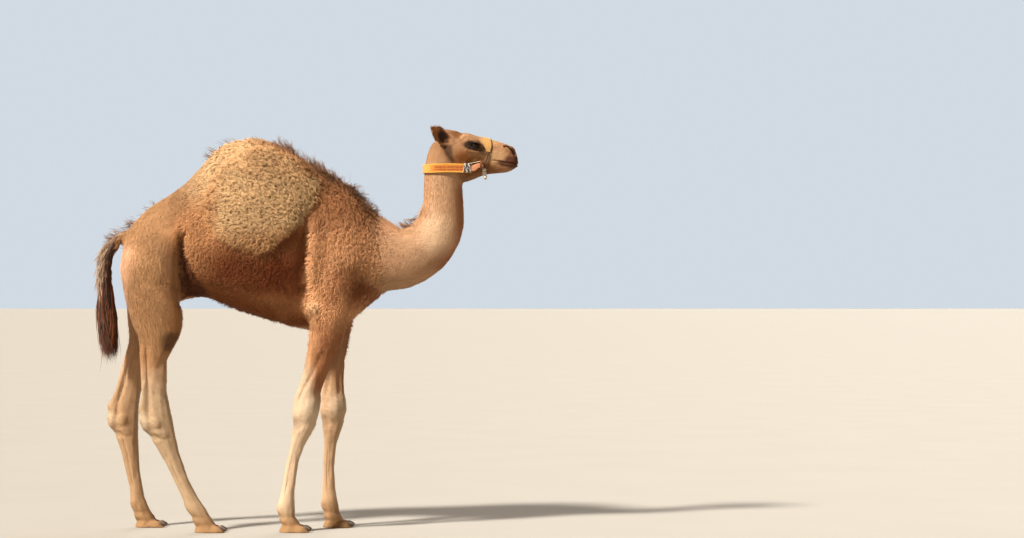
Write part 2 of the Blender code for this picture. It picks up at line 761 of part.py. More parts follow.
class Surface:
    """Finds the outside of the head and neck, for pieces that lie on it."""

    def __init__(self, obj):
        bm = bmesh.new()
        bm.from_mesh(obj.data)
        self.tree = BVHTree.FromBMesh(bm)
        bm.free()

    def from_outside(self, origin, direction, reach=0.4):
        """The first place met on the way in towards origin, from reach away along direction."""
        direction = direction.normalized()
        hit = self.tree.ray_cast(origin + direction * reach, -direction, reach)
        return hit[0]


def ribbon(name, places, finish):
    """A closed strip through places, each of which gives its four corners in order round the section."""
    bm = bmesh.new()
    skin_rings(bm, places)
    return add_object(name, mesh_from(bm, name), finish)


def offset_path(path, by):
    """A path in the XY plane, moved to the outer side of its convex turn."""
    moved = []
    for i, point in enumerate(path):
        ahead = path[min(i + 1, len(path) - 1)] - path[max(i - 1, 0)]
        normal = Vector((ahead.y, -ahead.x)).normalized()
        moved.append(point + normal * by)
    return moved


def strap_path(surface):
    """The hull of head and neck at the strap's height, from one cheek round the nape to the other."""
    hits = []
    reach = CHEEK_STRAP_END - 0.66
    for share in (-0.5, -0.25, 0, 0.25, 0.5):
        level = Vector((0.66, 0, STRAP_Z + STRAP_WIDE * share))
        for step in range(41):
            a = math.radians(90 + 180 * step / 40)
            hits.append(surface.from_outside(level, Vector((math.cos(a), math.sin(a), 0))))
        for step in range(13):
            along = Vector((reach * step / 12, 0, 0))
            hits += [surface.from_outside(level + along, Vector((0, side, 0))) for side in (-1, 1)]
    flat = [Vector((hit.x, hit.y)) for hit in hits if hit]
    hull = [flat[i] for i in convex_hull_2d(flat)]
    rear = [p for p in hull if p.x < CHEEK_STRAP_END - 0.002]
    rear.sort(key=lambda p: math.atan2(p.y, 0.70 - p.x))
    rear = [Vector((CHEEK_STRAP_END, rear[0].y))] + rear + [Vector((CHEEK_STRAP_END, rear[-1].y))]
    return resampled(rear, 0.013)


def resampled(path, step):
    """A path with its places about step apart."""
    lengths = [0.0]
    for a, b in zip(path, path[1:]):
        lengths.append(lengths[-1] + (b - a).length)
    count = max(2, round(lengths[-1] / step))
    made, i = [], 0
    for n in range(count + 1):
        want = lengths[-1] * n / count
        while i < len(path) - 2 and lengths[i + 1] < want:
            i += 1
        share = (want - lengths[i]) / max(lengths[i + 1] - lengths[i], 1e-9)
        made.append(path[i].lerp(path[i + 1], share))
    return made


def fitted(piece, others):
    """Trims a piece so that a thin gap is left between it and the pieces it lies against."""
    for other in others:
        cut(piece, grown(other, FIT_GAP))
    keep_largest(piece)
    return piece


def make_strap(surface, body):
    """The woven strap round the nape and cheeks, and the two end pieces that carry it to the knots."""
    path = strap_path(surface)
    centre = Vector((0.70, 0))
    inner, outer = (offset_path(path, by) for by in (STRAP_CLEAR, STRAP_CLEAR + STRAP_THICK))
    middle = len(path) // 2
    if (inner[middle] - centre).length < (path[middle] - centre).length:
        inner, outer = (offset_path(path, -by) for by in (STRAP_CLEAR, STRAP_CLEAR + STRAP_THICK))

    def section(i, wide):
        low, high = STRAP_Z - wide / 2, STRAP_Z + wide / 2
        a, b = inner[i], outer[i]
        return [Vector((*a, low)), Vector((*b, low)), Vector((*b, high)), Vector((*a, high))]

    along = [i for i, p in enumerate(path) if p.x < STRAP_FRONT]
    strap = fitted(ribbon("halter_strap", [section(i, STRAP_WIDE) for i in along], "strap"), [body])
    made = [strap]
    for hand, places in (("right", range(0, along[0] + 1)), ("left", range(along[-1], len(path)))):
        sections = [section(i, CHEEK_STRAP_WIDE) for i in places]
        cheek = ribbon(f"halter_cheek_{hand}", sections, "strap")
        made.append(fitted(cheek, [body, strap]))
    return made


def nose_place(surface, angle, x, lift):
    """A place on the muzzle at an angle from straight up, lifted off the coat."""
    direction = Vector((0, math.sin(math.radians(angle)), math.cos(math.radians(angle))))
    return surface.from_outside(Vector((x, 0, 1.752)), direction) + direction * lift


def make_noseband(surface, body, turns=20):
    """A band over the bridge of the nose that narrows to a tip on each cheek."""
    rings = []
    low, high = STRAP_CLEAR, STRAP_CLEAR + STRAP_THICK
    for step in range(turns + 1):
        angle = NOSEBAND_DROP * (2 * step / turns - 1)
        share = abs(angle) / NOSEBAND_DROP
        wide = NOSEBAND_WIDE + (NOSEBAND_TIP_WIDE - NOSEBAND_WIDE) * smooth_step(0.45, 1.0, share)
        middle = NOSEBAND_X + 0.012 * share
        back, front = middle - wide / 2, middle + wide / 2
        order = ((back, low), (back, high), (front, high), (front, low))
        rings.append([nose_place(surface, angle, x, lift) for x, lift in order])
    return fitted(ribbon("halter_noseband", rings, "strap"), [body])


def tube(name, path, radius, finish, sides=5):
    """A round cord through a list of places."""
    rings = []
    for i, centre in enumerate(path):
        along = (path[min(i + 1, len(path) - 1)] - path[max(i - 1, 0)]).normalized()
        first = along.cross(Vector((1, 0, 0))).normalized()
        second = along.cross(first)
        turn = [math.tau * k / sides for k in range(sides)]
        rings.append([centre + (first * math.cos(a) + second * math.sin(a)) * radius for a in turn])
    return ribbon(name, rings, finish)


def make_muzzle_cord(surface, body, turns=18):
    """The cord from one tip of the noseband, under the jaw, to the other tip."""
    path = []
    start = NOSEBAND_DROP + 4
    for step in range(turns + 1):
        angle = start + (360 - 2 * start) * step / turns
        down = 1 - abs(180 - angle) / (180 - start)
        x = NOSEBAND_X + 0.012 - 0.022 * min(1.0, 1.6 * down)
        path.append(nose_place(surface, angle, x, STRAP_CLEAR + CORD_RADIUS))
    return fitted(tube("halter_muzzle_cord", path, CORD_RADIUS, "cord"), [body])


def make_knots(surface, body, neighbours):
    """A knot on each cheek, and the knotted rope end that hangs by the right one."""
    x, _, z, radius = KNOT
    for hand, side in (("right", -1), ("left", 1)):
        hit = surface.from_outside(Vector((x, 0, z)), Vector((0, side, 0)))
        bm = bmesh.new()
        add_mass(bm, x, hit.y + side * radius * 0.45, z, radius, radius * 0.8, radius * 1.1, around=10)
        name = f"halter_knot_{hand}"
        fitted(add_object(name, mesh_from(bm, name), "cord"), [body] + neighbours)
    bm = bmesh.new()
    hit = surface.from_outside(Vector((0.828, 0, 1.678)), Vector((0, -1, 0)))
    out = abs(hit.y) + STRAP_CLEAR + 2 * CORD_RADIUS + 0.004
    loft_limb(bm, [(x, out, z, r, r) for x, z, r in TASSEL], -1, around=7, steps=1)
    knot = bpy.data.objects["halter_knot_right"]
    fitted(add_object("halter_tassel", mesh_from(bm, "tassel"), "cord"), [body, knot] + neighbours)


def make_halter(body):
    surface = Surface(body)
    strap, cheek_right, cheek_left = make_strap(surface, body)
    make_noseband(surface, body)
    cord = make_muzzle_cord(surface, body)
    make_knots(surface, body, [cord, cheek_right, cheek_left])


def set_on_floor():
    """Hangs every piece from one empty, whose place on the floor is under the middle of the whole box."""
    pieces = list(bpy.data.objects)
    boxes = [box_of(obj) for obj in pieces]
    middle = [(min(b[axis][0] for b in boxes) + max(b[axis][1] for b in boxes)) / 2 for axis in (0, 1)]
    root = bpy.data.objects.new("camel", None)
    bpy.context.scene.collection.objects.link(root)
    for obj, box in zip(pieces, boxes):
        own = Vector([(low + high) / 2 for low, high in box])
        obj.data.transform(Matrix.Translation(-own))
        obj.location = own - Vector((*middle, 0))
        obj.parent = root


def main():
    for obj in list(bpy.data.objects):
        bpy.data.objects.remove(obj)

    flesh = make_flesh()
    for name, side in (("eye_right", -1), ("eye_left", 1)):
        eye = make_eye(name, side)
        cut(flesh, grown(eye, FIT_GAP))
    whole = grown(flesh, 0.0)
    make_tail(whole)
    make_ear("ear_right", -1, whole)
    make_ear("ear_left", 1, whole)
    make_halter(whole)
    drop(whole)

    parts = name_parts(part_flesh(flesh))
    make_nails(parts)
    for obj in bpy.data.objects:
        obj.data.shade_smooth()
    set_on_floor()


main()
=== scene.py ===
import math

import bmesh
import bpy
import numpy as np
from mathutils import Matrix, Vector
from mathutils.bvhtree import BVHTree
from mathutils.kdtree import KDTree


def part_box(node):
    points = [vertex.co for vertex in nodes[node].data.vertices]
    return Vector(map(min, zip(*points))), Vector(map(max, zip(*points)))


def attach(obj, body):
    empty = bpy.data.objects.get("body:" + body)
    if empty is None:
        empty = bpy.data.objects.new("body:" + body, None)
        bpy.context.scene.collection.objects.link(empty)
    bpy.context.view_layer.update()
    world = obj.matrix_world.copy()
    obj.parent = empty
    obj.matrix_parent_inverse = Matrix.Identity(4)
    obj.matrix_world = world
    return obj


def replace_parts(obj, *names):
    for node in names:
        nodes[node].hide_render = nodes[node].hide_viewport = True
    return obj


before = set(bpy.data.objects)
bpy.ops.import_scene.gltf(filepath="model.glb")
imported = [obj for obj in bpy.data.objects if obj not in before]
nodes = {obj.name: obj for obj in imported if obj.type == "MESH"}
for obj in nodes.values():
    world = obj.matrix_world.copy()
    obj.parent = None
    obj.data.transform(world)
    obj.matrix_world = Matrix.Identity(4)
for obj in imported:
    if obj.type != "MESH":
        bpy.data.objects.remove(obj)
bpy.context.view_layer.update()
scene = bpy.context.scene
hands = ((-1, "right"), (1, "left"))  # the sign of y on either side of the camel


def selectOnly(*objs):
    bpy.ops.object.select_all(action="DESELECT")
    for obj in objs:
        obj.select_set(True)
    bpy.context.view_layer.objects.active = objs[0]


def applyModifier(obj, kind, **settings):
    mod = obj.modifiers.new(kind.title(), kind)
    for key, value in settings.items():
        setattr(mod, key, value)
    selectOnly(obj)
    bpy.ops.object.modifier_apply(modifier=mod.name)


def editAll(obj, operator, **settings):  # one edit-mode operator on the whole mesh
    selectOnly(obj)
    bpy.ops.object.mode_set(mode="EDIT")
    bpy.ops.mesh.select_all(action="SELECT")
    operator(**settings)
    bpy.ops.object.mode_set(mode="OBJECT")


def copyOf(names, label):  # CAD nodes copied into one new object, doubles merged
    copies = []
    for name in names:
        copy = nodes[name].copy()
        copy.data = nodes[name].data.copy()
        copy.data.materials.clear()
        scene.collection.objects.link(copy)
        copies.append(copy)
    selectOnly(*copies)
    if len(copies) > 1:
        bpy.ops.object.join()
    obj = bpy.context.view_layer.objects.active
    obj.name = label
    obj.data.name = label
    editAll(obj, bpy.ops.mesh.remove_doubles, threshold=0.00001)
    return obj


def pointsFrom(names, label):  # the points of CAD nodes, through a copy that doesn't stay
    guide = copyOf(names, label)
    points = pointsOf(guide.data)
    bpy.data.objects.remove(guide)
    return points


def addMesh(label, points, faces):
    mesh = bpy.data.meshes.new(label)
    mesh.from_pydata(points, [], faces)
    mesh.update()
    obj = bpy.data.objects.new(label, mesh)
    scene.collection.objects.link(obj)
    mesh.shade_smooth()
    return obj


def declare(piece, look, slot, *replaced):  # material, CAD nodes that the piece stands for, and body; slot is not used
    piece.data.materials.append(look.material)
    if replaced:
        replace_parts(piece, *replaced)
    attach(piece, "root")


def readVectors(source, name, count):
    flat = np.empty(count * 3, np.float32)
    source.foreach_get(name, flat)
    return flat.reshape(-1, 3).astype(np.float64)


def pointsOf(mesh):
    return readVectors(mesh.vertices, "co", len(mesh.vertices))


def normalsOf(mesh):
    return readVectors(mesh.vertex_normals, "vector", len(mesh.vertices))


def setPoints(mesh, points):
    mesh.vertices.foreach_set("co", points.astype(np.float32).ravel())
    mesh.update()


def setGroup(obj, label, share, steps=20):  # vertex group from an array of weights
    group = obj.vertex_groups.new(name=label)
    levels = np.clip(np.round(share * steps), 0, steps).astype(int)
    for level in range(1, steps + 1):
        picked = np.nonzero(levels == level)[0]
        if len(picked):
            group.add(picked.tolist(), level / steps, "REPLACE")


def unit(v):
    return v / np.maximum(np.linalg.norm(v, axis=-1, keepdims=True), 1e-9)


def flattened(v, normals):  # v without its share along the normals
    return v - normals * np.sum(v * normals, 1, keepdims=True)


def step(low, high, value):  # smooth step; low may lie above high
    t = np.clip((value - low) / (high - low), 0, 1)
    return t * t * (3 - 2 * t)


def bell(value, centre, wide):  # 1 at the centre, falling off smoothly on both sides
    return np.exp(-(((value - centre) / wide) ** 2))


hashing = {"axes": (73856093, 19349663, 83492791), "seed": 7919, "stir": 1274126177, "keep": 0x7FFFFFFF}
seedApart = 17.31  # how far apart the fields of two seeds lie


def noise(points, size, seed):  # smooth random field between -1 and 1, its lumps about one size across
    q = points / size + seed * seedApart
    cell = np.floor(q).astype(np.int64)
    f = q - cell
    f = f * f * (3 - 2 * f)
    total = np.zeros(len(points))
    for corner in np.ndindex(2, 2, 2):
        h = np.bitwise_xor.reduce((cell + corner) * hashing["axes"], axis=1)
        h = (h + seed * hashing["seed"]) & hashing["keep"]
        h = (h ^ (h >> 13)) * hashing["stir"] & hashing["keep"]
        value = ((h ^ (h >> 16)) & 0xFFFF) / 32767.5 - 1
        wx, wy, wz = np.where(corner, f, 1 - f).T
        total += value * wx * wy * wz
    return total


def srgb(r, g, b):  # screen colour 0-255 to linear
    c = np.array([r, g, b]) / 255
    return np.where(c <= 0.04045, c / 12.92, ((c + 0.055) / 1.055) ** 2.4)


class Wire:  # a node's output that takes part in sums
    def __init__(self, board, link, vector=False):
        self.board, self.link, self.vector = board, link, vector

    def math(self, operation, a, b):
        vector = any(isinstance(value, Wire) and value.vector for value in (a, b))
        kind = "VectorMath" if vector else "Math"
        return self.board.node(kind, {"operation": operation}, {0: a, 1: b}, vector=vector)

    def __add__(self, other):
        return self.math("ADD", self, other)

    __radd__ = __add__

    def __sub__(self, other):
        return self.math("SUBTRACT", self, other)

    def __rsub__(self, other):
        return self.math("SUBTRACT", other, self)

    def __mul__(self, other):
        return self.math("MULTIPLY", self, other)

    __rmul__ = __mul__


class Board:  # the node tree of one material, or of the world
    def __init__(self, label, home="materials", end="Principled BSDF", **fixed):
        self.material = getattr(bpy.data, home).new(label)
        self.material.use_nodes = True
        self.tree = self.material.node_tree
        self.end = self.tree.nodes[end]
        for name, value in fixed.items():
            self.end.inputs[name.replace("_", " ")].default_value = value

    def node(self, kind, settings=None, sockets=None, out=0, vector=False):
        made = self.tree.nodes.new("ShaderNode" + kind)
        for key, value in (settings or {}).items():
            if key == "stops":
                ramp = made.color_ramp
                while len(ramp.elements) < len(value):
                    ramp.elements.new(0.5)
                for element, (place, colour) in zip(ramp.elements, value):
                    element.position = place
                    element.color = (*colour, 1)
            else:
                setattr(made, key, value)
        for key, value in (sockets or {}).items():
            if isinstance(value, Wire):
                self.tree.links.new(value.link, made.inputs[key])
            elif made.inputs[key].type == "RGBA":
                made.inputs[key].default_value = (*value, 1)
            else:
                made.inputs[key].default_value = value
        return Wire(self, made.outputs[out], vector)

    def place(self):
        return self.node("TexCoord", out="Object", vector=True)

    def tint(self, name):
        settings = {"attribute_name": name, "attribute_type": "GEOMETRY"}
        return self.node("Attribute", settings, out="Color", vector=True)

    def grain(self, where, scale, detail=2.0, rough=0.5):
        sockets = {"Vector": where, "Scale": scale, "Detail": detail, "Roughness": rough}
        return self.node("TexNoise", {}, sockets)

    def stretch(self, where, scale):
        return self.node("Mapping", {}, {"Vector": where, "Scale": scale}, vector=True)

    def wave(self, operation, value):
        return self.node("Math", {"operation": operation}, {0: value})

    def mix(self, share, a, b, kind="MIX"):
        settings = {"data_type": "RGBA", "blend_type": kind}
        return self.node("Mix", settings, {0: share, 6: a, 7: b}, out=2, vector=True)

    def bump(self, height, distance, strength=1.0):
        sockets = {"Height": height, "Distance": distance, "Strength": strength}
        return self.node("Bump", {}, sockets, vector=True)

    def feed(self, **wires):
        for name, wire in wires.items():
            self.tree.links.new(wire.link, self.end.inputs[name.replace("_", " ")])


# the camel's own measures are set ahead by where its eye lies
eyeLow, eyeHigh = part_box("eye_right")
eyeMiddle = (Vector(eyeLow) + Vector(eyeHigh)) / 2
eyeRadius = (eyeHigh[2] - eyeLow[2]) / 2
ahead = eyeMiddle.x - 0.78
legSplit = -0.3  # the fore legs lie ahead of it


def eyePlace(side):
    return Vector((eyeMiddle.x, -eyeMiddle.y * side, eyeMiddle.z))


def sideOf(points):  # x and z in the camel's own measures, and the distance from the mid plane
    return points[:, 0] - ahead, np.abs(points[:, 1]), points[:, 2]


def nearLine(x, z, path):  # distance to a line of (x, z) places, and how far along it, 0 to 1
    best = np.full(len(x), np.inf)
    along = np.zeros(len(x))
    spans = len(path) - 1
    for i, ((ax, az), (bx, bz)) in enumerate(zip(path, path[1:])):
        dx, dz = bx - ax, bz - az
        t = np.clip(((x - ax) * dx + (z - az) * dz) / (dx * dx + dz * dz), 0, 1)
        d = np.hypot(x - ax - t * dx, z - az - t * dz)
        closer = d < best
        best = np.where(closer, d, best)
        along = np.where(closer, (i + t) / spans, along)
    return best, along


def patch(x, z, cx, cz, rx, rz, soft=0.5, turn=0.0):  # 1 inside an oval, falling to 0 over its soft rim
    c, s = math.cos(math.radians(turn)), math.sin(math.radians(turn))
    u, v = (x - cx) * c + (z - cz) * s, (z - cz) * c - (x - cx) * s
    return step(1 + soft, 1 - soft, np.hypot(u / rx, v / rz))


def area(x, z, outline, soft):  # 1 inside a closed outline in side view, falling to 0 over its soft edge
    inside = np.zeros(len(x), bool)
    for (ax, az), (bx, bz) in zip(outline, outline[1:] + outline[:1]):
        inside ^= ((az > z) != (bz > z)) & (x < ax + (z - az) * (bx - ax) / ((bz - az) or 1))
    reach, _ = nearLine(x, z, outline + outline[:1])
    return step(-soft, soft, np.where(inside, reach, -reach))


def dent(points, path, width, inner):  # 1 along a line seen from the side, falling off; none within y inner
    x, y, z = sideOf(points)
    d, t = nearLine(x, z, path)
    ends = step(0.0, 0.12, t) * step(1.0, 0.88, t)
    return bell(d, 0, width) * ends * step(inner - 0.01, inner + 0.01, y)


# outlines and lines of places in side view, as x and z
fleeceLine = (
    (0.067, 1.617), (0.047, 1.549), (-0.017, 1.439), (-0.108, 1.355), (-0.16, 1.31), (-0.211, 1.298),
    (-0.315, 1.326), (-0.405, 1.368), (-0.476, 1.471), (-0.483, 1.523), (-0.418, 1.646), (-0.308, 1.763),
    (-0.223, 1.789), (-0.145, 1.776), (-0.066, 1.737), (0.004, 1.681),
)
foldLine = ((-0.588, 1.37), (-0.592, 1.05), (-0.452, 1.1), (-0.53, 1.25))
tailPath = (
    (-0.888, 1.375), (-0.932, 1.316), (-0.951, 1.246), (-0.955, 1.161), (-0.948, 1.067), (-0.945, 0.973),
    (-0.944, 0.888), (-0.936, 0.835), (-0.926, 0.803),
)
nostrilPath = (
    (0.92, 1.796), (0.93, 1.7975), (0.941, 1.792), (0.952, 1.78), (0.961, 1.768), (0.967, 1.757),
)
mouthPath = ((0.862, 1.731), (0.895, 1.726), (0.935, 1.718), (0.99, 1.712))
neckLie = (
    (0.34, 1.28), (0.45, 1.27), (0.55, 1.32), (0.615, 1.415), (0.634, 1.523), (0.63, 1.61), (0.63, 1.8),
)


def fleeceShare(points, normals):
    x, _, z = sideOf(points)
    wobble = 0.008 * noise(points, 0.04, 3)
    inside = area(x + wobble, z + wobble, fleeceLine, 0.01)
    return inside * step(-0.5, -0.36, x) * step(0.2, 0.6, np.abs(normals[:, 1]))


def headShare(points, soft=0.03):
    x, _, z = sideOf(points)
    return step(-soft, soft, ((x - 0.645) * 0.24 + (z - 1.725) * 0.19) / 0.306) * step(1.6, 1.63, z)


def neckShare(points):
    return step(0.28, 0.38, sideOf(points)[0])


def tailShare(points):
    x, y, z = sideOf(points)
    d, _ = nearLine(x, z, tailPath)
    return ((d < 0.055) & (y < 0.05) & (z > 0.78) & (x < -0.885)).astype(float)


def earShare(x, y, z):
    return step(0.668, 0.65, x) * step(1.8, 1.815, z) * step(0.046, 0.056, y)


view = {"x": 0.956, "away": 10.0, "height": 1.0575, "lens": 74.8, "sensor": 36, "tilt": 0.94}
bpy.ops.object.camera_add(
    location=(ahead + view["x"], -view["away"], view["height"]),
    rotation=(math.radians(90 + view["tilt"]), 0, 0),
)
camera = bpy.context.active_object
camera.name = "camera"
camera.data.lens = view["lens"]
camera.data.sensor_width = view["sensor"]
scene.camera = camera

# a soft high sun, a broad one from behind, and a faint lamp low beside the camera
lamps = {
    "key": {
        "kind": "SUN", "place": (0, 0, 8), "heading": (0.66, 0.54, -0.8), "colour": (1.0, 0.96, 0.9),
        "energy": 7.6, "angle": math.radians(7.0),
    },
    "rear": {
        "kind": "SUN", "place": (0, 0, 8), "heading": (-0.35, -0.85, -0.42), "colour": (1.0, 0.95, 0.9),
        "energy": 2.0, "angle": math.radians(50.0),
    },
    "fill": {
        "kind": "AREA", "place": (5.5, -6.5, 2.6), "heading": (-5.5, 6.5, -1.5), "colour": (1.0, 0.97, 0.93),
        "energy": 20.0, "shape": "DISK", "size": 5.0,
    },
}
studio = {
    "room": 0.22, "roomColour": (1.0, 0.78, 0.56), "backdrop": 0.8, "backdropColour": (0.8, 0.88, 0.96),
    "floor": 900.0, "floorPlace": (0, 10, 0), "floorTones": (srgb(160, 154, 144), srgb(167, 161, 151)),
}


def addLamp(label, kind, place, heading, colour, **settings):
    bpy.ops.object.light_add(type=kind, location=place)
    lamp = bpy.context.active_object
    lamp.name = label
    lamp.data.color = colour
    for key, value in settings.items():
        setattr(lamp.data, key, value)
    lamp.rotation_euler = Vector(heading).to_track_quat("-Z", "Y").to_euler()


def makeRoom():  # the room lights the camel softly, and shows behind it as a pale backdrop
    sky = Board("studio", "worlds", "World Output")
    room = sky.node("Background", {}, {"Color": studio["roomColour"], "Strength": studio["room"]})
    backdrop = sky.node("Background", {}, {"Color": studio["backdropColour"], "Strength": studio["backdrop"]})
    seen = sky.node("LightPath", out="Is Camera Ray")
    sky.feed(Surface=sky.node("MixShader", {}, {0: seen, 1: room, 2: backdrop}))
    scene.world = sky.material
    scene.view_settings.view_transform = "Standard"


def makeFloor():
    bpy.ops.mesh.primitive_plane_add(size=studio["floor"], location=studio["floorPlace"])
    floor = bpy.context.active_object
    floor.name = "floor"
    look = Board("floor", Roughness=0.8)
    look.feed(Base_Color=look.mix(look.grain(look.place(), 1.5, 4), *studio["floorTones"]))
    floor.data.materials.append(look.material)


for label, lamp in lamps.items():
    addLamp(label, **lamp)
makeRoom()
makeFloor()
print("stage: camera, floor and lights")


# the skin is one closed surface in place of all the nodes of flesh
skinMake = {
    "bridge": 0.0009, "voxel": 0.0034, "bodyTurns": 110, "legTurns": 10, "lastTurns": 2, "triangles": 136000,
    "reach": {"eye": (0.04, 0.029), "nostril": (0.012, 0.007), "mouth": (0.006,)},
}
otherNodes = ("halter", "nail", "eye", "tail_switch")
fleshNodes = [name for name in nodes if not name.startswith(otherNodes)]


def makeSkin():
    skin = copyOf(fleshNodes + ["eye_right", "eye_left"], "skin")
    applyModifier(skin, "DISPLACE", strength=skinMake["bridge"], mid_level=0.0)  # closes the thin cuts
    applyModifier(skin, "REMESH", mode="VOXEL", voxel_size=skinMake["voxel"])
    points = pointsOf(skin.data)
    z = points[:, 2]
    flesh = 1 - headShare(points)
    setGroup(skin, "body", flesh * step(0.8, 1.05, z))
    setGroup(skin, "legs", flesh * step(0.02, 0.08, z))
    for group, turns in (("body", skinMake["bodyTurns"]), ("legs", skinMake["legTurns"])):
        applyModifier(skin, "SMOOTH", factor=0.5, iterations=turns, vertex_group=group)
    applyModifier(skin, "SMOOTH", factor=0.5, iterations=skinMake["lastTurns"])
    points = pointsOf(skin.data)
    setGroup(skin, "loose", 1 - 0.9 * headShare(points) - 0.1 * step(1.0, 0.8, points[:, 2]))
    ratio = skinMake["triangles"] / (2 * len(skin.data.polygons))
    applyModifier(skin, "DECIMATE", ratio=ratio, vertex_group="loose", use_collapse_triangulate=True)
    skin.vertex_groups.clear()
    return skin


def refine(obj, near, reach):  # cuts the faces whose middle is within reach of a place into four
    mesh = obj.data
    bm = bmesh.new()
    bm.from_mesh(mesh)
    picked = [f for f in bm.faces if near(f.calc_center_median()) < reach]
    edges = list({e for f in picked for e in f.edges})
    bmesh.ops.subdivide_edges(bm, edges=edges, cuts=1, use_grid_fill=True)
    bmesh.ops.triangulate(bm, faces=[f for f in bm.faces if len(f.verts) > 3])
    bm.to_mesh(mesh)
    bm.free()


def nearPath(path):
    def measure(place):
        best = math.inf
        for (ax, az), (bx, bz) in zip(path, path[1:]):
            dx, dz = bx - ax, bz - az
            t = ((place.x - ahead - ax) * dx + (place.z - az) * dz) / (dx * dx + dz * dz)
            t = min(1, max(0, t))
            best = min(best, math.hypot(place.x - ahead - ax - t * dx, place.z - az - t * dz))
        return best
    return measure


def nearEye(place):
    return (Vector((place.x, -abs(place.y), place.z)) - eyeMiddle).length


skin = makeSkin()
refined = {"eye": nearEye, "nostril": nearPath(nostrilPath), "mouth": nearPath(mouthPath)}
for place, near in refined.items():
    for reach in skinMake["reach"][place]:
        refine(skin, near, reach)
print("skin:", len(skin.data.polygons), "triangles")


legRead = {"levels": (0.03, 1.12, 0.02), "half": 0.014, "inner": 0.02}


def legLines():  # the legs' own middle lines and half widths, read from the skin
    points = pointsOf(skin.data)
    x, _, z = sideOf(points)
    levels = np.arange(*legRead["levels"])
    tail = tailShare(points) > 0
    lines = {}
    for kind, where in (("fore", x > legSplit), ("hind", x < legSplit)):
        for side, _ in hands:
            mine = where & (points[:, 1] * side > legRead["inner"]) & ~tail
            rows = []
            for level in levels:
                ring = mine & (np.abs(z - level) < legRead["half"])
                low, high = points[ring].min(0), points[ring].max(0)
                middle, half = (low + high) / 2, (high - low) / 2
                rows.append((middle[0] - ahead, abs(middle[1]), half[0], half[1]))
            lines[kind, side] = np.array(rows).T
    return levels, lines


legLevels, legLine = legLines()


def legPlace(points):  # which leg, and where round it: -1 rear to 1 front, -1 inside to 1 outside
    x, y, z = sideOf(points)
    u, v = np.zeros(len(points)), np.zeros(len(points))
    fore = x > legSplit
    for (kind, side), (mx, my, hx, hy) in legLine.items():
        mine = (fore if kind == "fore" else ~fore) & (points[:, 1] * side > 0)
        u[mine] = ((x - np.interp(z, legLevels, mx)) / np.interp(z, legLevels, hx))[mine]
        v[mine] = ((y - np.interp(z, legLevels, my)) / np.interp(z, legLevels, hy))[mine]
    return fore, u, v


def coatDepth(points, normals):  # the skin lies inside the CAD shape by the coat's depth
    x, _, z = sideOf(points)
    depth = 0.0065 + 0.004 * step(-0.03, 0.04, x) * step(0.36, 0.28, x)
    depth = depth + (0.004 - depth) * neckShare(points)
    depth = depth + 0.01 * fleeceShare(points, normals)
    leg = 0.0012 + 0.0018 * step(0.1, 0.45, z) + 0.004 * step(0.55, 0.95, z)
    depth = np.where(z < 1.15, leg + (depth - leg) * step(0.92, 1.12, z), depth)
    depth = depth + (0.0015 - depth) * headShare(points)
    return np.where(tailShare(points) > 0, 0.011, depth)


def addUp(rows):  # the sum of rows whose values are multiplied
    return sum(math.prod(row) for row in rows)


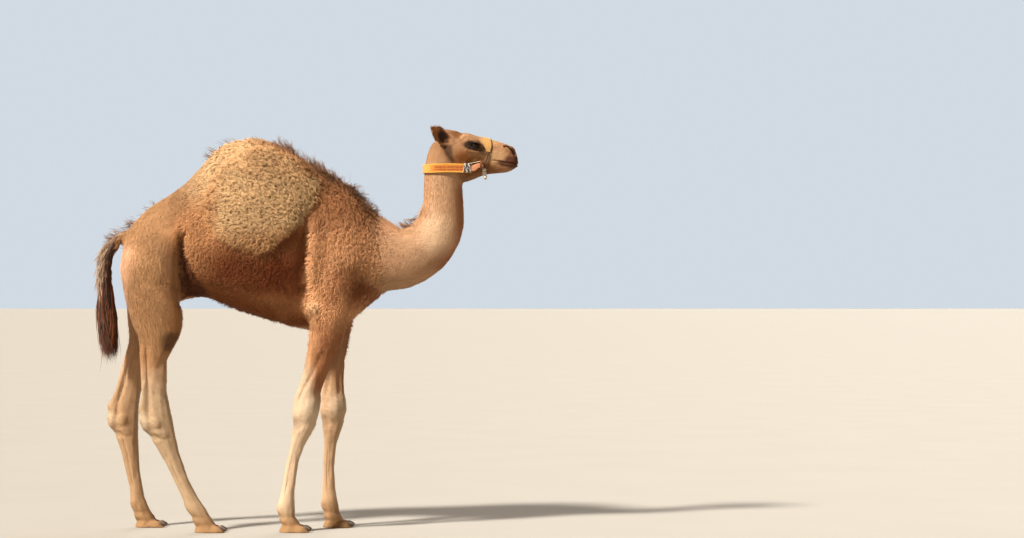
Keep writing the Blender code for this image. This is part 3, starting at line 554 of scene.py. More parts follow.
def sculptBody(points):
    x, y, z = sideOf(points)
    fore, u, v = legPlace(points)
    body = 1 - headShare(points)
    low = z < 1.02
    hind, fore = ~fore & low, fore & low
    ribs = np.sin((x + 0.35 * (z - 1.3)) / 0.058 * math.tau)
    heel = np.interp(z, (0.5, 0.56, 0.66, 0.78, 0.9), (-0.28, -0.34, -0.44, -0.56, -0.66))
    shank = step(0.49, 0.56, z) * step(0.92, 0.8, z)
    arm = np.interp(z, (0.58, 0.66, 0.74, 0.86), (-0.75, -0.45, -0.15, 0.05))
    cleft = bell(v, 0, 0.12) * step(0.1, 0.05, z) * step(0.05, 0.5, u)

    def oval(*shape):
        return patch(x, z, *shape)

    def onLeg(*shape):
        return patch(u, z, *shape)

    def groove(width, inner, *path):
        return dent(points, path, width, inner)

    return body * addUp((  # each row: a height in metres and the shares that limit it
        # flank fold, its thigh edge, the shoulder's rear edge, elbow, girth and the neck's seat
        (-0.026, groove(0.015, 0.05, (-0.572, 1.42), (-0.574, 1.3), (-0.572, 1.18), (-0.562, 1.04))),
        (0.01, groove(0.017, 0.05, (-0.606, 1.42), (-0.61, 1.28), (-0.602, 1.08))),
        (-0.012, area(x, z, foldLine, 0.014), step(0.05, 0.08, y)),
        (-0.018, groove(0.015, 0.05, (0.006, 1.5), (0.006, 1.36), (0.004, 1.2), (-0.004, 1.07))),
        (0.011, groove(0.017, 0.05, (0.038, 1.5), (0.04, 1.36), (0.034, 1.1))),
        (0.014, oval(0.038, 1.034, 0.028, 0.034, 0.4), step(0.12, 0.15, y)),
        (-0.006, groove(0.007, 0.12, (0.062, 1.072), (0.082, 1.052), (0.086, 1.022))),
        (0.012, patch(x, y, -0.362, 0.0, 0.018, 0.022, 0.6), step(1.14, 1.1, z)),
        (-0.012, groove(0.018, 0.03, (0.315, 1.5), (0.335, 1.4), (0.33, 1.28), (0.285, 1.14))),
        (-0.006, groove(0.022, 0.05, (-0.3, 1.16), (-0.14, 1.13), (-0.02, 1.12))),
        (0.0012, ribs, oval(-0.28, 1.22, 0.26, 0.12)),
        # the tendons, grooves and joints of the hind legs
        (-0.013, bell(u, heel, 0.17), shank, hind),
        (0.005, bell(u, heel - 0.34, 0.16), shank, hind),
        (0.004, bell(u, 0.05, 0.22), step(0.43, 0.48, z), step(0.62, 0.55, z), hind),
        (-0.006, bell(u, -0.22, 0.13), step(0.16, 0.22, z), step(0.47, 0.4, z), hind),
        (-0.006, onLeg(-0.55, 0.44, 0.45, 0.016), hind),
        (0.01, onLeg(-0.95, 0.5, 0.45, 0.03), hind),
        (0.006, onLeg(-0.05, 0.51, 0.3, 0.024), hind),
        (0.004, onLeg(0.1, 0.455, 0.4, 0.018), hind),
        # and of the fore legs
        (-0.007, bell(u, arm, 0.2), step(0.57, 0.63, z), step(0.9, 0.76, z), fore),
        (-0.006, bell(u, 0.62, 0.16), step(0.62, 0.66, z), step(0.8, 0.72, z), fore),
        (-0.0055, bell(u, -0.26, 0.18), step(0.15, 0.2, z), step(0.46, 0.22, z), fore),
        (-0.0035, bell(u, 0.2, 0.35), step(0.2, 0.26, z), step(0.46, 0.38, z), fore),
        (0.005, onLeg(0.75, 0.575, 0.9, 0.045), fore),
        (0.005, onLeg(0.0, 0.545, 0.6, 0.04), fore),
        (-0.004, onLeg(-0.5, 0.5, 0.5, 0.026), fore),
        (-0.0012, onLeg(0.2, 0.64, 0.7, 0.026), fore),
        # fetlock, pastern, small lumps, and the cleft between the two toes
        (0.006, bell(z, 0.118, 0.026), step(0.5, -0.7, u), low),
        (-0.006, bell(z, 0.07, 0.014), step(0.8, -0.4, u), low),
        (0.0012, noise(points, 0.03, 5), low),
        (0.004, noise(points, 0.11, 6), ~low, body),
        (-0.008, cleft, step(0.004, 0.012, z)),
    ))


def sculptHead(points):
    x, y, z = sideOf(points)
    slit, _ = nearLine(x, z, nostrilPath)
    mouth, t = nearLine(x, z, mouthPath)
    aside = step(0.003, 0.009, y)

    def oval(*shape):
        return patch(x, z, *shape)

    def ridge(width, inner, *path):
        return dent(points, path, width, inner)

    return headShare(points) * addUp((
        # the nostril's slit and rim, the mouth's line and lip, and the groove of the upper lip
        (-0.012, bell(slit, 0, 0.0036), aside),
        (0.0028, bell(slit, 0.0078, 0.0042), aside),
        (-0.0045, bell(mouth, 0, 0.0028), step(-0.02, 0.1, t)),
        (0.0016, bell(mouth, 0.008, 0.005), step(0.1, 0.4, t)),
        (-0.003, bell(y, 0, 0.0025), step(0.955, 0.97, x), step(1.715, 1.73, z), step(1.785, 1.77, z)),
        # brow, cheek bone, the hollows before and above the eye, the jaw's edge
        (0.006, ridge(0.01, 0.03, (0.716, 1.826), (0.734, 1.846), (0.768, 1.854), (0.806, 1.84))),
        (0.004, oval(0.768, 1.862, 0.034, 0.012, 0.5), step(0.0, 0.02, y)),
        (-0.004, oval(0.722, 1.872, 0.02, 0.012, 0.5)),
        (0.01, bell(x, 0.966, 0.026), bell(z, 1.784, 0.02)),
        (-0.004, ridge(0.012, 0.03, (0.7, 1.838), (0.69, 1.82), (0.7, 1.8))),
        (0.0035, ridge(0.008, 0.03, (0.735, 1.78), (0.775, 1.768), (0.815, 1.768), (0.845, 1.762))),
        (-0.004, ridge(0.012, 0.02, (0.812, 1.8), (0.835, 1.785), (0.862, 1.778))),
        (-0.0035, ridge(0.012, 0.02, (0.77, 1.745), (0.8, 1.735), (0.84, 1.735))),
        (-0.01, ridge(0.011, 0.03, (0.64, 1.8), (0.66, 1.765), (0.684, 1.725), (0.702, 1.69))),
        (0.003, oval(0.722, 1.722, 0.034, 0.046)),
        (0.001, noise(points, 0.016, 8)),
    ))


def roundEars(points):  # the tip of each ear is broad and blunt
    x, y, z = sideOf(points)
    ear = step(0.668, 0.655, x - 0.25 * (z - 1.8)) * step(0.046, 0.054, y) * step(1.825, 1.865, z)
    points[:, 2] += ear * (0.0075 * bell(x, 0.625, 0.02) - 0.003 * step(0.599, 0.589, x))
    return points


skinPoints = roundEars(pointsOf(skin.data))
skinNormals = normalsOf(skin.data)
rise = sculptBody(skinPoints) + sculptHead(skinPoints) - coatDepth(skinPoints, skinNormals)
skinPoints = skinPoints + skinNormals * rise[:, None]
skinPoints[:, 2] = np.maximum(skinPoints[:, 2], 0.0)
setPoints(skin.data, skinPoints)
applyModifier(skin, "SMOOTH", factor=0.4, iterations=1)

lid = {
    "long": 0.0225, "up": 0.013, "down": 0.0135, "tilt": -8.0, "gap": 0.0012, "thick": 0.0024, "deep": 0.004,
    "reach": 0.045, "upperFold": (0.0016, 1.55, 0.1), "lowerFold": (0.001, 1.6, 0.12),
}


def eyeFrame(side):
    gaze = Vector((0.3, side, 0.0)).normalized()
    tilt = math.radians(lid["tilt"])
    forward = Vector((math.cos(tilt), 0, math.sin(tilt)))
    forward = (forward - gaze * forward.dot(gaze)).normalized()
    return np.array(gaze), np.array(forward), np.array(forward.cross(gaze) * side)


def lidReach(a, b):  # 1 on the rim of the lids, less within the opening
    tall = np.where(b > 0, lid["up"], lid["down"])
    return (np.abs(a / lid["long"]) ** 1.7 + np.abs(b / tall) ** 2.0) ** 0.5


def sculptLids(points, side):
    middle = np.array(eyePlace(side))
    gaze, forward, up = eyeFrame(side)
    offset = points - middle
    r = np.linalg.norm(offset, axis=1)
    near = (r < lid["reach"]) & (offset @ gaze > 0)
    a, b = offset @ forward, offset @ up
    reach = lidReach(a, b)
    rim = near & (reach > 0.86) & (reach < 1.16)
    inside = near & (reach < 1.0)
    goal = np.where(inside & rim, 0.97, 1.0)
    scale = np.where(rim, goal / np.maximum(reach, 0.01), 1.0)
    a, b = a * scale, b * scale
    radius = np.maximum(r, eyeRadius + lid["gap"] + lid["thick"] * step(1.0, 1.25, reach))
    radius = np.where(rim & ~inside, eyeRadius + lid["gap"], radius)
    above = step(-0.002, 0.004, b)
    for (depth, centre, wide), share in ((lid["upperFold"], above), (lid["lowerFold"], 1 - above)):
        radius -= depth * bell(reach, centre, wide) * share
    radius = np.where(inside, eyeRadius - lid["deep"], radius)
    across = np.hypot(a, b)
    radius = np.maximum(radius, across + 0.0005)
    moved = np.sqrt(np.maximum(radius**2 - across**2, 1e-8))
    made = middle + gaze * moved[:, None] + forward * a[:, None] + up * b[:, None]
    return np.where(near[:, None], made, points)


skinPoints = pointsOf(skin.data)
for side, _ in hands:
    skinPoints = sculptLids(skinPoints, side)
setPoints(skin.data, skinPoints)
skin.data.shade_smooth()
skinNormals = normalsOf(skin.data)
print("skin sculpted")


# the tones of skin and coat, as screen colours; the flank, fold, belly, chest, throat, cheek, ear-hollow and
# inner-leg tones are painted shade, and so is the callus tone along the flank fold; the thigh-rear, elbow and
# brow tones are painted light
screenPaint = {
    "body": (182, 129, 85), "back": (142, 102, 67), "withers": (150, 97, 59), "flank": (99, 44, 14),
    "fold": (70, 32, 12), "belly": (114, 62, 24), "wool": (201, 165, 120), "woolEdge": (177, 126, 81),
    "woolLow": (176, 125, 80), "shoulder": (222, 164, 116), "arm": (212, 156, 110),
    "chest": (116, 57, 24), "elbow": (216, 172, 128), "rump": (174, 129, 88),
    "thighRear": (226, 173, 135), "neck": (191, 148, 112), "neckPale": (237, 198, 160),
    "nape": (201, 149, 107), "throat": (145, 70, 27), "crest": (136, 96, 64), "leg": (211, 182, 150),
    "hindLeg": (186, 156, 122), "legInner": (181, 141, 102), "knee": (213, 195, 167),
    "foot": (160, 122, 83), "callus": (96, 66, 46), "face": (162, 119, 84), "brow": (202, 155, 112),
    "cheek": (117, 69, 29), "bridge": (189, 146, 101), "muzzle": (179, 140, 99), "lip": (78, 45, 29),
    "eyeRim": (21, 13, 10), "earBack": (177, 114, 64), "earIn": (49, 28, 20), "tail": (78, 54, 44),
    "tailPale": (171, 144, 120), "tailTip": (146, 84, 48),
}
paint = {name: srgb(*tone) for name, tone in screenPaint.items()}


def blendTo(colour, share, tone):
    return colour + (paint[tone] - colour) * np.clip(share, 0, 1)[:, None]


def markings(points, normals):  # rows of a tone and the shares it comes in by, each over the ones before
    x, y, z = sideOf(points)
    wobble = 0.03 * noise(points, 0.07, 11) + 0.012 * noise(points, 0.025, 12)
    xs, zs = x + wobble, z + 0.6 * wobble
    fore, u, v = legPlace(points)
    hind = ~fore

    def oval(*shape):
        return patch(x, z, *shape)

    def loose(*shape):  # with a wavering rim
        return patch(xs, zs, *shape)

    def onLeg(*shape):
        return patch(u, z, *shape)

    def reach(*path):
        return nearLine(x, z, path)[0]

    shoulder = step(-0.02, 0.04, xs) * step(0.4, 0.32, xs)
    bellyTop = zs + 0.35 * (xs + 0.25)
    # a strip before the thigh's front edge, where painted shade goes
    thighFrontShade = step(-0.59, -0.615, x) * step(-0.69, -0.635, xs) * step(1.02, 1.14, zs)
    thighFrontShade = thighFrontShade * step(1.4, 1.3, zs)
    neck = step(0.28, 0.4, xs + wobble)
    nape = reach((0.36, 1.43), (0.46, 1.415), (0.53, 1.5), (0.545, 1.62), (0.55, 1.74), (0.6, 1.82))
    throat = reach((0.36, 1.12), (0.5, 1.14), (0.66, 1.28), (0.735, 1.45), (0.73, 1.58))
    ridge = step(0.075, 0.02, y) * step(1.4, 1.48, z) * step(-0.3, -0.12, xs) * step(0.37, 0.3, xs)
    # the crease of the flank fold, where painted shade goes
    callus = dent(points, ((-0.572, 1.38), (-0.57, 1.18), (-0.56, 1.05)), 0.012, 0.05)
    rows = [
        ("back", loose(-0.55, 1.6, 0.22, 0.1, 0.6, 38)),
        ("rump", step(-0.58, -0.66, xs), step(0.7, 0.85, zs)),
        # painted light on the rear of the thighs
        ("thighRear", step(-0.78, -0.86, xs), step(1.36, 1.28, zs), 0.9),
        # painted shade on the flank, under the fleece's overhang and behind the shoulder's edge
        ("flank", loose(-0.25, 1.2, 0.24, 0.115, 0.5, -12), 0.9),
        ("flank", loose(-0.06, 1.26, 0.1, 0.22, 0.5), 0.8),
        ("wool", loose(-0.36, 1.7, 0.2, 0.14, 0.5, 30), 0.75),
        # painted shade on the underside of the body
        ("belly", step(1.16, 1.03, bellyTop), step(-0.6, -0.5, xs), step(0.04, -0.02, xs)),
        # painted shade in the flank fold between thigh and belly
        ("fold", area(x, z, foldLine, 0.012), step(0.01, 0.04, y), 0.9),
        # painted shade along the flank fold's crease
        ("callus", callus, 0.8),
        ("shoulder", shoulder),
        ("arm", shoulder, step(1.34, 1.16, zs)),
        ("withers", shoulder, step(1.32, 1.5, zs), 0.75),
        # painted shade on the chest under the neck
        ("chest", loose(0.185, 1.15, 0.085, 0.09, 0.5), 0.55),
        ("chest", loose(0.27, 1.1, 0.09, 0.06, 0.5), 0.75),
        # painted shade along the thigh's front edge
        ("fold", thighFrontShade, step(0.05, 0.09, y), 0.5),
        # a painted highlight on the elbow's knob
        ("elbow", oval(0.034, 1.046, 0.03, 0.034, 0.3), step(0.1, 0.14, y), 0.8),
        ("neck", neck),
        ("nape", neck, step(0.055, 0.0, nape), 0.8),
        # painted shade along the underside of the neck
        ("throat", neck, step(0.07, 0.0, throat), step(0.54, 0.66, x), 0.7),
        ("rump", oval(0.595, 1.765, 0.04, 0.045, 0.6), 0.6),
        ("neckPale", oval(0.615, 1.38, 0.075, 0.09, 0.5), 0.85),
        ("crest", ridge, 0.75),
    ]

    front = 0.1 * np.clip(u, -1, 1) + 0.09 * np.clip(u, 0, 1) * step(0.58, 0.7, z)
    low = np.where(fore, step(0.78, 0.62, zs + front), step(0.83, 0.57, zs))
    rows += [
        # painted shade on the upper fore legs under the chest
        ("chest", step(1.06, 0.9, zs), fore, step(-0.9, 0.0, u), 0.65),
        ("leg", low),
        ("hindLeg", low, hind),
        # painted shade on the inner sides of the legs
        ("legInner", step(1.02, 0.85, zs), step(-0.1, -0.7, v), 0.7),
        # a paler knee front, partly its own callus and partly a painted highlight
        ("knee", fore, onLeg(0.6, 0.575, 1.0, 0.055, 0.9), 0.4),
        ("knee", hind, onLeg(-0.85, 0.52, 0.5, 0.04), 0.25),
        ("callus", hind, onLeg(0.66, 0.885, 0.42, 0.046, 0.5), step(-0.1, 0.4, v), 0.85),
        # painted shade in the hollow behind the fore knee
        ("callus", fore, onLeg(-0.7, 0.5, 0.3, 0.035), 0.35),
        ("foot", step(0.16, 0.03, zs)),
    ]

    head = headShare(points, 0.02)
    # the painted shadow behind the jaw, below the ear
    jawShadowWedge = ((0.622, 1.812), (0.642, 1.76), (0.7, 1.69), (0.682, 1.745), (0.676, 1.8))
    browHighlightArch = dent(points, ((0.716, 1.828), (0.734, 1.846), (0.768, 1.853), (0.808, 1.838)), 0.01, 0.03)
    lowerLip = oval(0.922, 1.716, 0.034, 0.013, 0.6, -10)
    lip = np.maximum(oval(0.962, 1.724, 0.04, 0.03, 0.45, -12), lowerLip)
    pocket = oval(0.953, 1.783, 0.018, 0.008, 0.5, -34)
    nostril = np.maximum(step(0.0085, 0.003, reach(*nostrilPath)), pocket * 0.85)
    almond = oval(0.77, 1.797, 0.041, 0.0215, 0.3, -10)
    tear = oval(0.808, 1.781, 0.028, 0.013, 0.6, -48)
    ear = earShare(x - 0.25 * (z - 1.8), y, z)
    facing = normals[:, 1] * np.sign(points[:, 1]) + 0.6 * normals[:, 0]
    rows += [
        ("face", head),
        # painted shade on the cheek and jaw under the brow
        ("cheek", head, loose(0.735, 1.725, 0.06, 0.05)),
        ("cheek", head, loose(0.8, 1.69, 0.1, 0.035), 0.8),
        ("bridge", head, step(1.8, 1.825, zs), step(0.79, 0.84, xs)),
        # painted shade in the hollow of the temple behind the brow
        ("cheek", head, oval(0.7, 1.852, 0.026, 0.016), 0.8),
        # a painted highlight along the brow's ridge
        ("brow", head, browHighlightArch, 0.9),
        ("muzzle", head, oval(0.88, 1.745, 0.045, 0.032)),
        # painted shadow behind the jaw, below the ear
        ("earIn", head, area(x, z, jawShadowWedge, 0.009), 0.75),
        # dark lips, partly their own colour and partly painted shade under the upper lip
        ("lip", head, np.minimum(lip * 1.2, 1), 0.95),
        # painted shade in the nostril's slit
        ("lip", head, nostril, step(0.003, 0.008, y)),
        ("eyeRim", head, np.maximum(almond, tear * 0.75), step(0.02, 0.035, y), 0.93),
        ("earBack", ear),
        # painted shade in the ear's hollow
        ("earIn", ear, step(0.15, 0.45, facing), oval(0.638, 1.83, 0.047, 0.026, 0.4, -64)),
    ]

    tail = tailShare(points)
    fleece = fleeceShare(points, normals)
    rows += [
        ("tail", tail),
        # painted light on the rear-facing side of the upper tail
        ("tailPale", tail, step(0.25, -0.5, normals[:, 0]), step(1.0, 1.1, z), 0.85),
        ("tailTip", tail, step(0.98, 0.86, z)),
        ("wool", fleece),
        ("woolLow", fleece, np.maximum(step(1.43, 1.34, zs), 0.35 * step(1.62, 1.7, zs)), 0.7),
        ("woolEdge", 4 * fleece * (1 - fleece), 0.6),
    ]

    colour = np.repeat(paint["body"][None, :], len(points), 0)
    for tone, *shares in rows:
        colour = blendTo(colour, math.prod(shares), tone)
    woolly = (1 - neck) * step(0.95, 1.12, z) * (1 - tail)
    shade = 1 + 0.08 * noise(points, 0.16, 13)
    shade = shade + (0.04 + 0.06 * woolly) * noise(points, 0.045, 14) * (1 - head)
    shade = shade + 0.09 * woolly * noise(points, 0.02, 16)
    return np.clip(colour * shade[:, None], 0, 1)


def setTint(obj, colour):
    layer = obj.data.color_attributes.new(name="markings", type="FLOAT_COLOR", domain="POINT")
    flat = np.ones((len(colour), 4), np.float32)
    flat[:, :3] = colour
    layer.data.foreach_set("color", flat.ravel())


skinPoints = pointsOf(skin.data)
# painted shade among the hairs: the skin under the coat is darker, most of all under the wool
skinCoatShade = {"bare": 0.94, "wool": 0.12}  # the skin is darker than the coat, most of all under the wool
coatShade = skinCoatShade["bare"] - skinCoatShade["wool"] * fleeceShare(skinPoints, skinNormals)[:, None]
setTint(skin, markings(skinPoints, skinNormals) * coatShade)


def lineTangent(points, path):  # direction of the nearest stretch of a line, from its start to its end
    x, _, z = sideOf(points)
    _, t = nearLine(x, z, path)
    spans = len(path) - 1
    made = np.zeros((len(points), 3))
    at = (np.arange(spans) + 0.5) / spans
    run = np.diff(path, axis=0)
    made[:, 0] = np.interp(t, at, run[:, 0])
    made[:, 2] = np.interp(t, at, run[:, 1])
    return unit(made)


def lieOf(points, normals):  # the way the coat lies: rows of a share and the direction it turns the hairs to
    x, y, z = sideOf(points)
    head = headShare(points)
    ear = head * earShare(x, y, z)
    away = np.sign(points[:, 1:2]) * (0.0, 0.33, 0.0) + (-0.62, 0.0, 0.7)
    lie = np.tile((-0.8, 0.0, -0.6), (len(points), 1))
    for share, direction in (
        (step(-0.02, 0.06, x), (-0.55, 0.0, -0.85)),
        (step(-0.56, -0.7, x), (-0.25, 0.0, -1.0)),
        (step(1.7, 1.8, z) * step(0.06, 0.0, y), (-0.9, 0.0, 0.1)),
        (neckShare(points), -lineTangent(points, neckLie) + (0, 0, -0.25)),
        (step(1.1, 0.98, z), (0.0, 0.0, -1.0)),
        (head, (-0.95, 0.0, 0.1)),
        (head * step(1.79, 1.75, z), (-0.9, 0.0, -0.45)),
        (ear, away),
        (tailShare(points), lineTangent(points, tailPath)),
    ):
        lie = lie + (np.asarray(direction) - lie) * share[:, None]
    swirl = 0.45 * noise(points, 0.09, 21)
    across = np.cross(normals, lie)
    lie = unit(lie) + across * (swirl * (1 - 0.6 * head))[:, None]
    return unit(flattened(lie, normals))


rng = np.random.default_rng(7)

triangles = np.empty(len(skin.data.polygons) * 3, np.int32)
skin.data.polygons.foreach_get("vertices", triangles)
triangles = triangles.reshape(-1, 3)
corners = skinPoints[triangles]
areas = np.linalg.norm(np.cross(corners[:, 1] - corners[:, 0], corners[:, 2] - corners[:, 0]), axis=1) / 2
centres = corners.mean(1)
centreNormals = unit(skinNormals[triangles].mean(1))
order = np.lexsort((centres[:, 1], np.floor(centres[:, 2] / 0.03), np.floor(centres[:, 0] / 0.03)))


def scatter(share, count):  # evenly spread roots on the skin, thicker where the share is higher
    weight = (areas * share)[order]
    total = np.cumsum(weight)
    where = (np.arange(count) + rng.random(count)) / count * total[-1]
    pick = order[np.minimum(np.searchsorted(total, where), len(order) - 1)]
    a, b = rng.random((2, count))
    over = a + b > 1
    a, b = np.where(over, 1 - a, a), np.where(over, 1 - b, b)
    mix = np.stack([1 - a - b, a, b], 1)[:, :, None]
    roots = (skinPoints[triangles[pick]] * mix).sum(1)
    normals = unit((skinNormals[triangles[pick]] * mix).sum(1))
    return roots, normals, lieOf(roots, normals)


def bakePlaces(roots):  # a place of its own for every hair on an evened unwrap round the body
    x, _, z = sideOf(roots)
    if np.ptp(x) > np.ptp(z):
        turn, along = np.arctan2(roots[:, 1] - roots[:, 1].mean(), z - z.mean()), x
    else:
        turn, along = np.arctan2(roots[:, 1], x - x.mean()), z
    count = len(roots)
    columns = max(1, int(math.sqrt(count)))
    column = np.empty(count, int)
    column[np.argsort(turn, kind="stable")] = np.arange(count) * columns // count
    placed = np.lexsort((along, column))
    first = np.searchsorted(column[placed], np.arange(columns))
    inColumn = np.empty(count)
    tall = np.bincount(column, minlength=columns)
    inColumn[placed] = np.arange(count) - first[column[placed]]
    return np.stack([(column + 0.5) / columns, (inColumn + 0.5) / tall[column]], 1)


# every hair is a closed three-sided spike that bends from its root to its tip
spike = {"swell": (0.72, 1.0, 0.85, 0.62, 0.45, 0.3), "bakeSize": 0.0015, "bakeCap": (0.0013, 0.0009)}
spikeTurns = [(math.cos(math.radians(turn)), math.sin(math.radians(turn))) for turn in (90, 210, 330)]
variety = {  # how much whole clumps and single hairs differ
    "length": (0.4, 0.5), "width": 0.4, "spin": (1.6, 0.8), "lift": (0.5, 0.4), "strays": 0.07, "follow": 0.6,
    "streak": (0.6, 0.4, 0.8), "light": (0.16, 0.22), "warm": 0.05,
}
plainStyle = {  # what a hair style says where it doesn't say otherwise
    "perClump": 8, "mess": 0.3, "vary": 1.0, "stray": 0.8, "curl": 0.0, "turns": 1.0, "pull": 0.7,
    "sink": 0.0008, "soft": 0.5, "flat": 0.6, "root": 0.6, "tip": 1.12, "mottle": 1.0,
    "streak": ("tail", 0.0), "slot": "coat", "tone": None,
}


def spikePoints(roots, normals, lie, style, leader, clumpSeed, own):
    count, rings = len(roots), style["rings"]
    length = style["length"](roots, normals) if callable(style["length"]) else np.full(count, style["length"])
    for share, seed in zip(variety["length"], (clumpSeed, own)):
        length = length * (1 + style["vary"] * (share * seed[:, 0] - share / 2))
    width = style["width"] * (1 + variety["width"] * (own[:, 1] - 0.5))
    clumpSpin, ownSpin = variety["spin"]
    spin = style["mess"] * ((clumpSeed[:, 1] - 0.5) * clumpSpin + (own[:, 2] - 0.5) * ownSpin)
    follow = variety["follow"]
    direction = unit(flattened(lie[leader] * follow + lie * (1 - follow), normals))
    across = np.cross(normals, direction)
    direction = direction * np.cos(spin)[:, None] + across * np.sin(spin)[:, None]
    across = np.cross(normals, direction)

    rootRise, tipRise = style["lift"]
    clumpLift, ownLift = variety["lift"]
    lift = 1 + clumpLift * (clumpSeed[:, 2] - 0.5) + ownLift * (own[:, 3] - 0.5)
    lift = lift + style["stray"] * (own[:, 3] > 1 - variety["strays"])
    place = roots - normals * style["sink"]
    paths, aims = [place], []
    for k in range(rings):
        t = (k + 0.5) / rings
        angle = np.radians(rootRise + (tipRise - rootRise) * t) * lift
        aim = direction * np.cos(angle)[:, None] + normals * np.sin(angle)[:, None]
        place = place + aim * (length / rings)[:, None]
        aims.append(aim)
        paths.append(place)
    aims.append(aims[-1])

    points = np.empty((count, rings * 3 + 1, 3))
    faced = np.empty_like(points)
    phase = clumpSeed[:, 3] * math.tau + own[:, 0] * 1.2
    toLeader = roots[leader] - roots
    soft = style["soft"]  # how far the hairs are lit as the body under them
    for k in range(rings + 1):
        t = k / rings
        wave = phase + math.tau * style["turns"] * t
        here = paths[k] + toLeader * (style["pull"] * t**1.3)
        loop = across * np.sin(wave)[:, None] + normals * (0.5 + 0.5 * np.cos(wave))[:, None]
        here = here + loop * style["curl"] * t
        if k == rings:
            points[:, -1] = here
            faced[:, -1] = normals * max(soft, 0.3) + aims[k] * 0.15
            break
        up = np.cross(aims[k], across)
        up = -unit(up) * np.sign(np.sum(up * -normals, 1) + 1e-9)[:, None]
        half = (width * (spike["swell"][k] if rings > 1 else 1.0) / 2)[:, None]
        for corner, (c, s) in enumerate(spikeTurns):
            points[:, k * 3 + corner] = here + across * half * c + up * half * (s * style["flat"])
            faced[:, k * 3 + corner] = (across * c + up * s) * (1 - soft) + normals * soft
    return points, faced


def spikeFaces(rings):  # faces of one hair: a cap under the root, the sides, and the tip
    local = [(0, 2, 1)]
    for k in range(rings - 1):
        for c in range(3):
            n = (c + 1) % 3
            local += [(k * 3 + c, k * 3 + n, k * 3 + 3 + n), (k * 3 + c, k * 3 + 3 + n, k * 3 + 3 + c)]
    last = (rings - 1) * 3
    return np.array(local + [(last + c, last + (c + 1) % 3, rings * 3) for c in range(3)])


def spikeLayout(local, rings):  # where a hair bakes: its rings inside one another, the cap beside them
    layout = np.zeros((rings * 3 + 1, 2))
    for k in range(rings):
        for corner, (c, s) in enumerate(spikeTurns):
            r = spike["bakeSize"] * (1 - k / rings)
            layout[k * 3 + corner] = (r * c, r * s)
    corner = layout[local]
    cap = np.all(local < 3, axis=1)
    corner[cap] = corner[cap] * 0.25 + spike["bakeCap"]
    return corner


def growHair(label, roots, normals, lie, style):
    style = {**plainStyle, **style}
    count, rings = len(roots), style["rings"]
    clumps = max(1, int(count / style["perClump"]))
    leaders = rng.choice(count, clumps, replace=False)
    tree = KDTree(clumps)
    for i, n in enumerate(leaders):
        tree.insert(roots[n], i)
    tree.balance()
    mine = np.array([tree.find(root)[1] for root in roots])
    clumpSeed = rng.random((clumps, 4))[mine]
    own = rng.random((count, 4))
    points, faced = spikePoints(roots, normals, lie, style, leaders[mine], clumpSeed, own)

    local = spikeFaces(rings)
    each = rings * 3 + 1
    faces = (local[None] + (np.arange(count) * each)[:, None, None]).reshape(-1, 3)
    a, b, c = (points.reshape(-1, 3)[faces[:, i]] for i in range(3))
    volume = np.sum(np.cross(b - a, c - a) * (a - np.repeat(roots, len(local), 0)), 1).sum()
    if volume < 0:
        faces = faces[:, ::-1]
        local = local[:, ::-1]

    mesh = bpy.data.meshes.new(label)
    mesh.vertices.add(count * each)
    mesh.vertices.foreach_set("co", points.astype(np.float32).ravel())
    mesh.loops.add(len(faces) * 3)
    mesh.loops.foreach_set("vertex_index", faces.astype(np.int32).ravel())
    mesh.polygons.add(len(faces))
    mesh.polygons.foreach_set("loop_start", np.arange(len(faces), dtype=np.int32) * 3)
    mesh.update(calc_edges=True)
    mesh.shade_smooth()
    mesh.normals_split_custom_set_from_vertices(unit(faced.reshape(-1, 3)).tolist())
    obj = bpy.data.objects.new(label, mesh)
    scene.collection.objects.link(obj)
    uv = bakePlaces(roots)[:, None, None, :] + spikeLayout(local, rings)[None]
    mesh.uv_layers.new(name="OFBake").data.foreach_set("uv", uv.astype(np.float32).ravel())

    tone = style["tone"]
    base = np.repeat(paint[tone][None], count, 0) if tone else markings(roots, normals)
    streak, streakShare = style["streak"]
    clumpStreak, ownStreak, strength = variety["streak"]
    isStreak = clumpSeed[:, 1] * clumpStreak + own[:, 2] * ownStreak < streakShare
    base = blendTo(base, strength * isStreak, streak)
    clumpLight, ownLight = variety["light"]
    light = 1 + style["mottle"] * (clumpLight * (clumpSeed[:, 0] - 0.5) + ownLight * (own[:, 1] - 0.5))
    warm = variety["warm"] * (clumpSeed[:, 1] - 0.5)
    shade = np.empty((count, each, 3))
    for k in range(rings + 1):
        # darker at the roots: painted shade deep in the coat
        level = (style["root"] + (style["tip"] - style["root"]) * (k / rings) ** 0.8) * light
        part = slice(k * 3, k * 3 + 3) if k < rings else slice(-1, None)
        shade[:, part] = (base * level[:, None] * (1 + np.array((1, 0, -1)) * warm[:, None]))[:, None]
    setTint(obj, np.clip(shade.reshape(-1, 3), 0, 1))
    declare(obj, coatLook, style["slot"])
    print("coat:", label, count, "hairs,", len(faces), "triangles")
    return obj


def makeCoatLook():
    look = Board("coat", Roughness=0.82, Specular_IOR_Level=0.14, Sheen_Weight=0.05, Sheen_Roughness=0.5)
    grain = look.grain(look.place(), 420, 2)
    tint = look.mix(grain * 0.24, look.tint("markings"), (0.3, 0.19, 0.12), "MULTIPLY")
    look.feed(Base_Color=tint, Roughness=0.74 + 0.16 * grain)
    return look


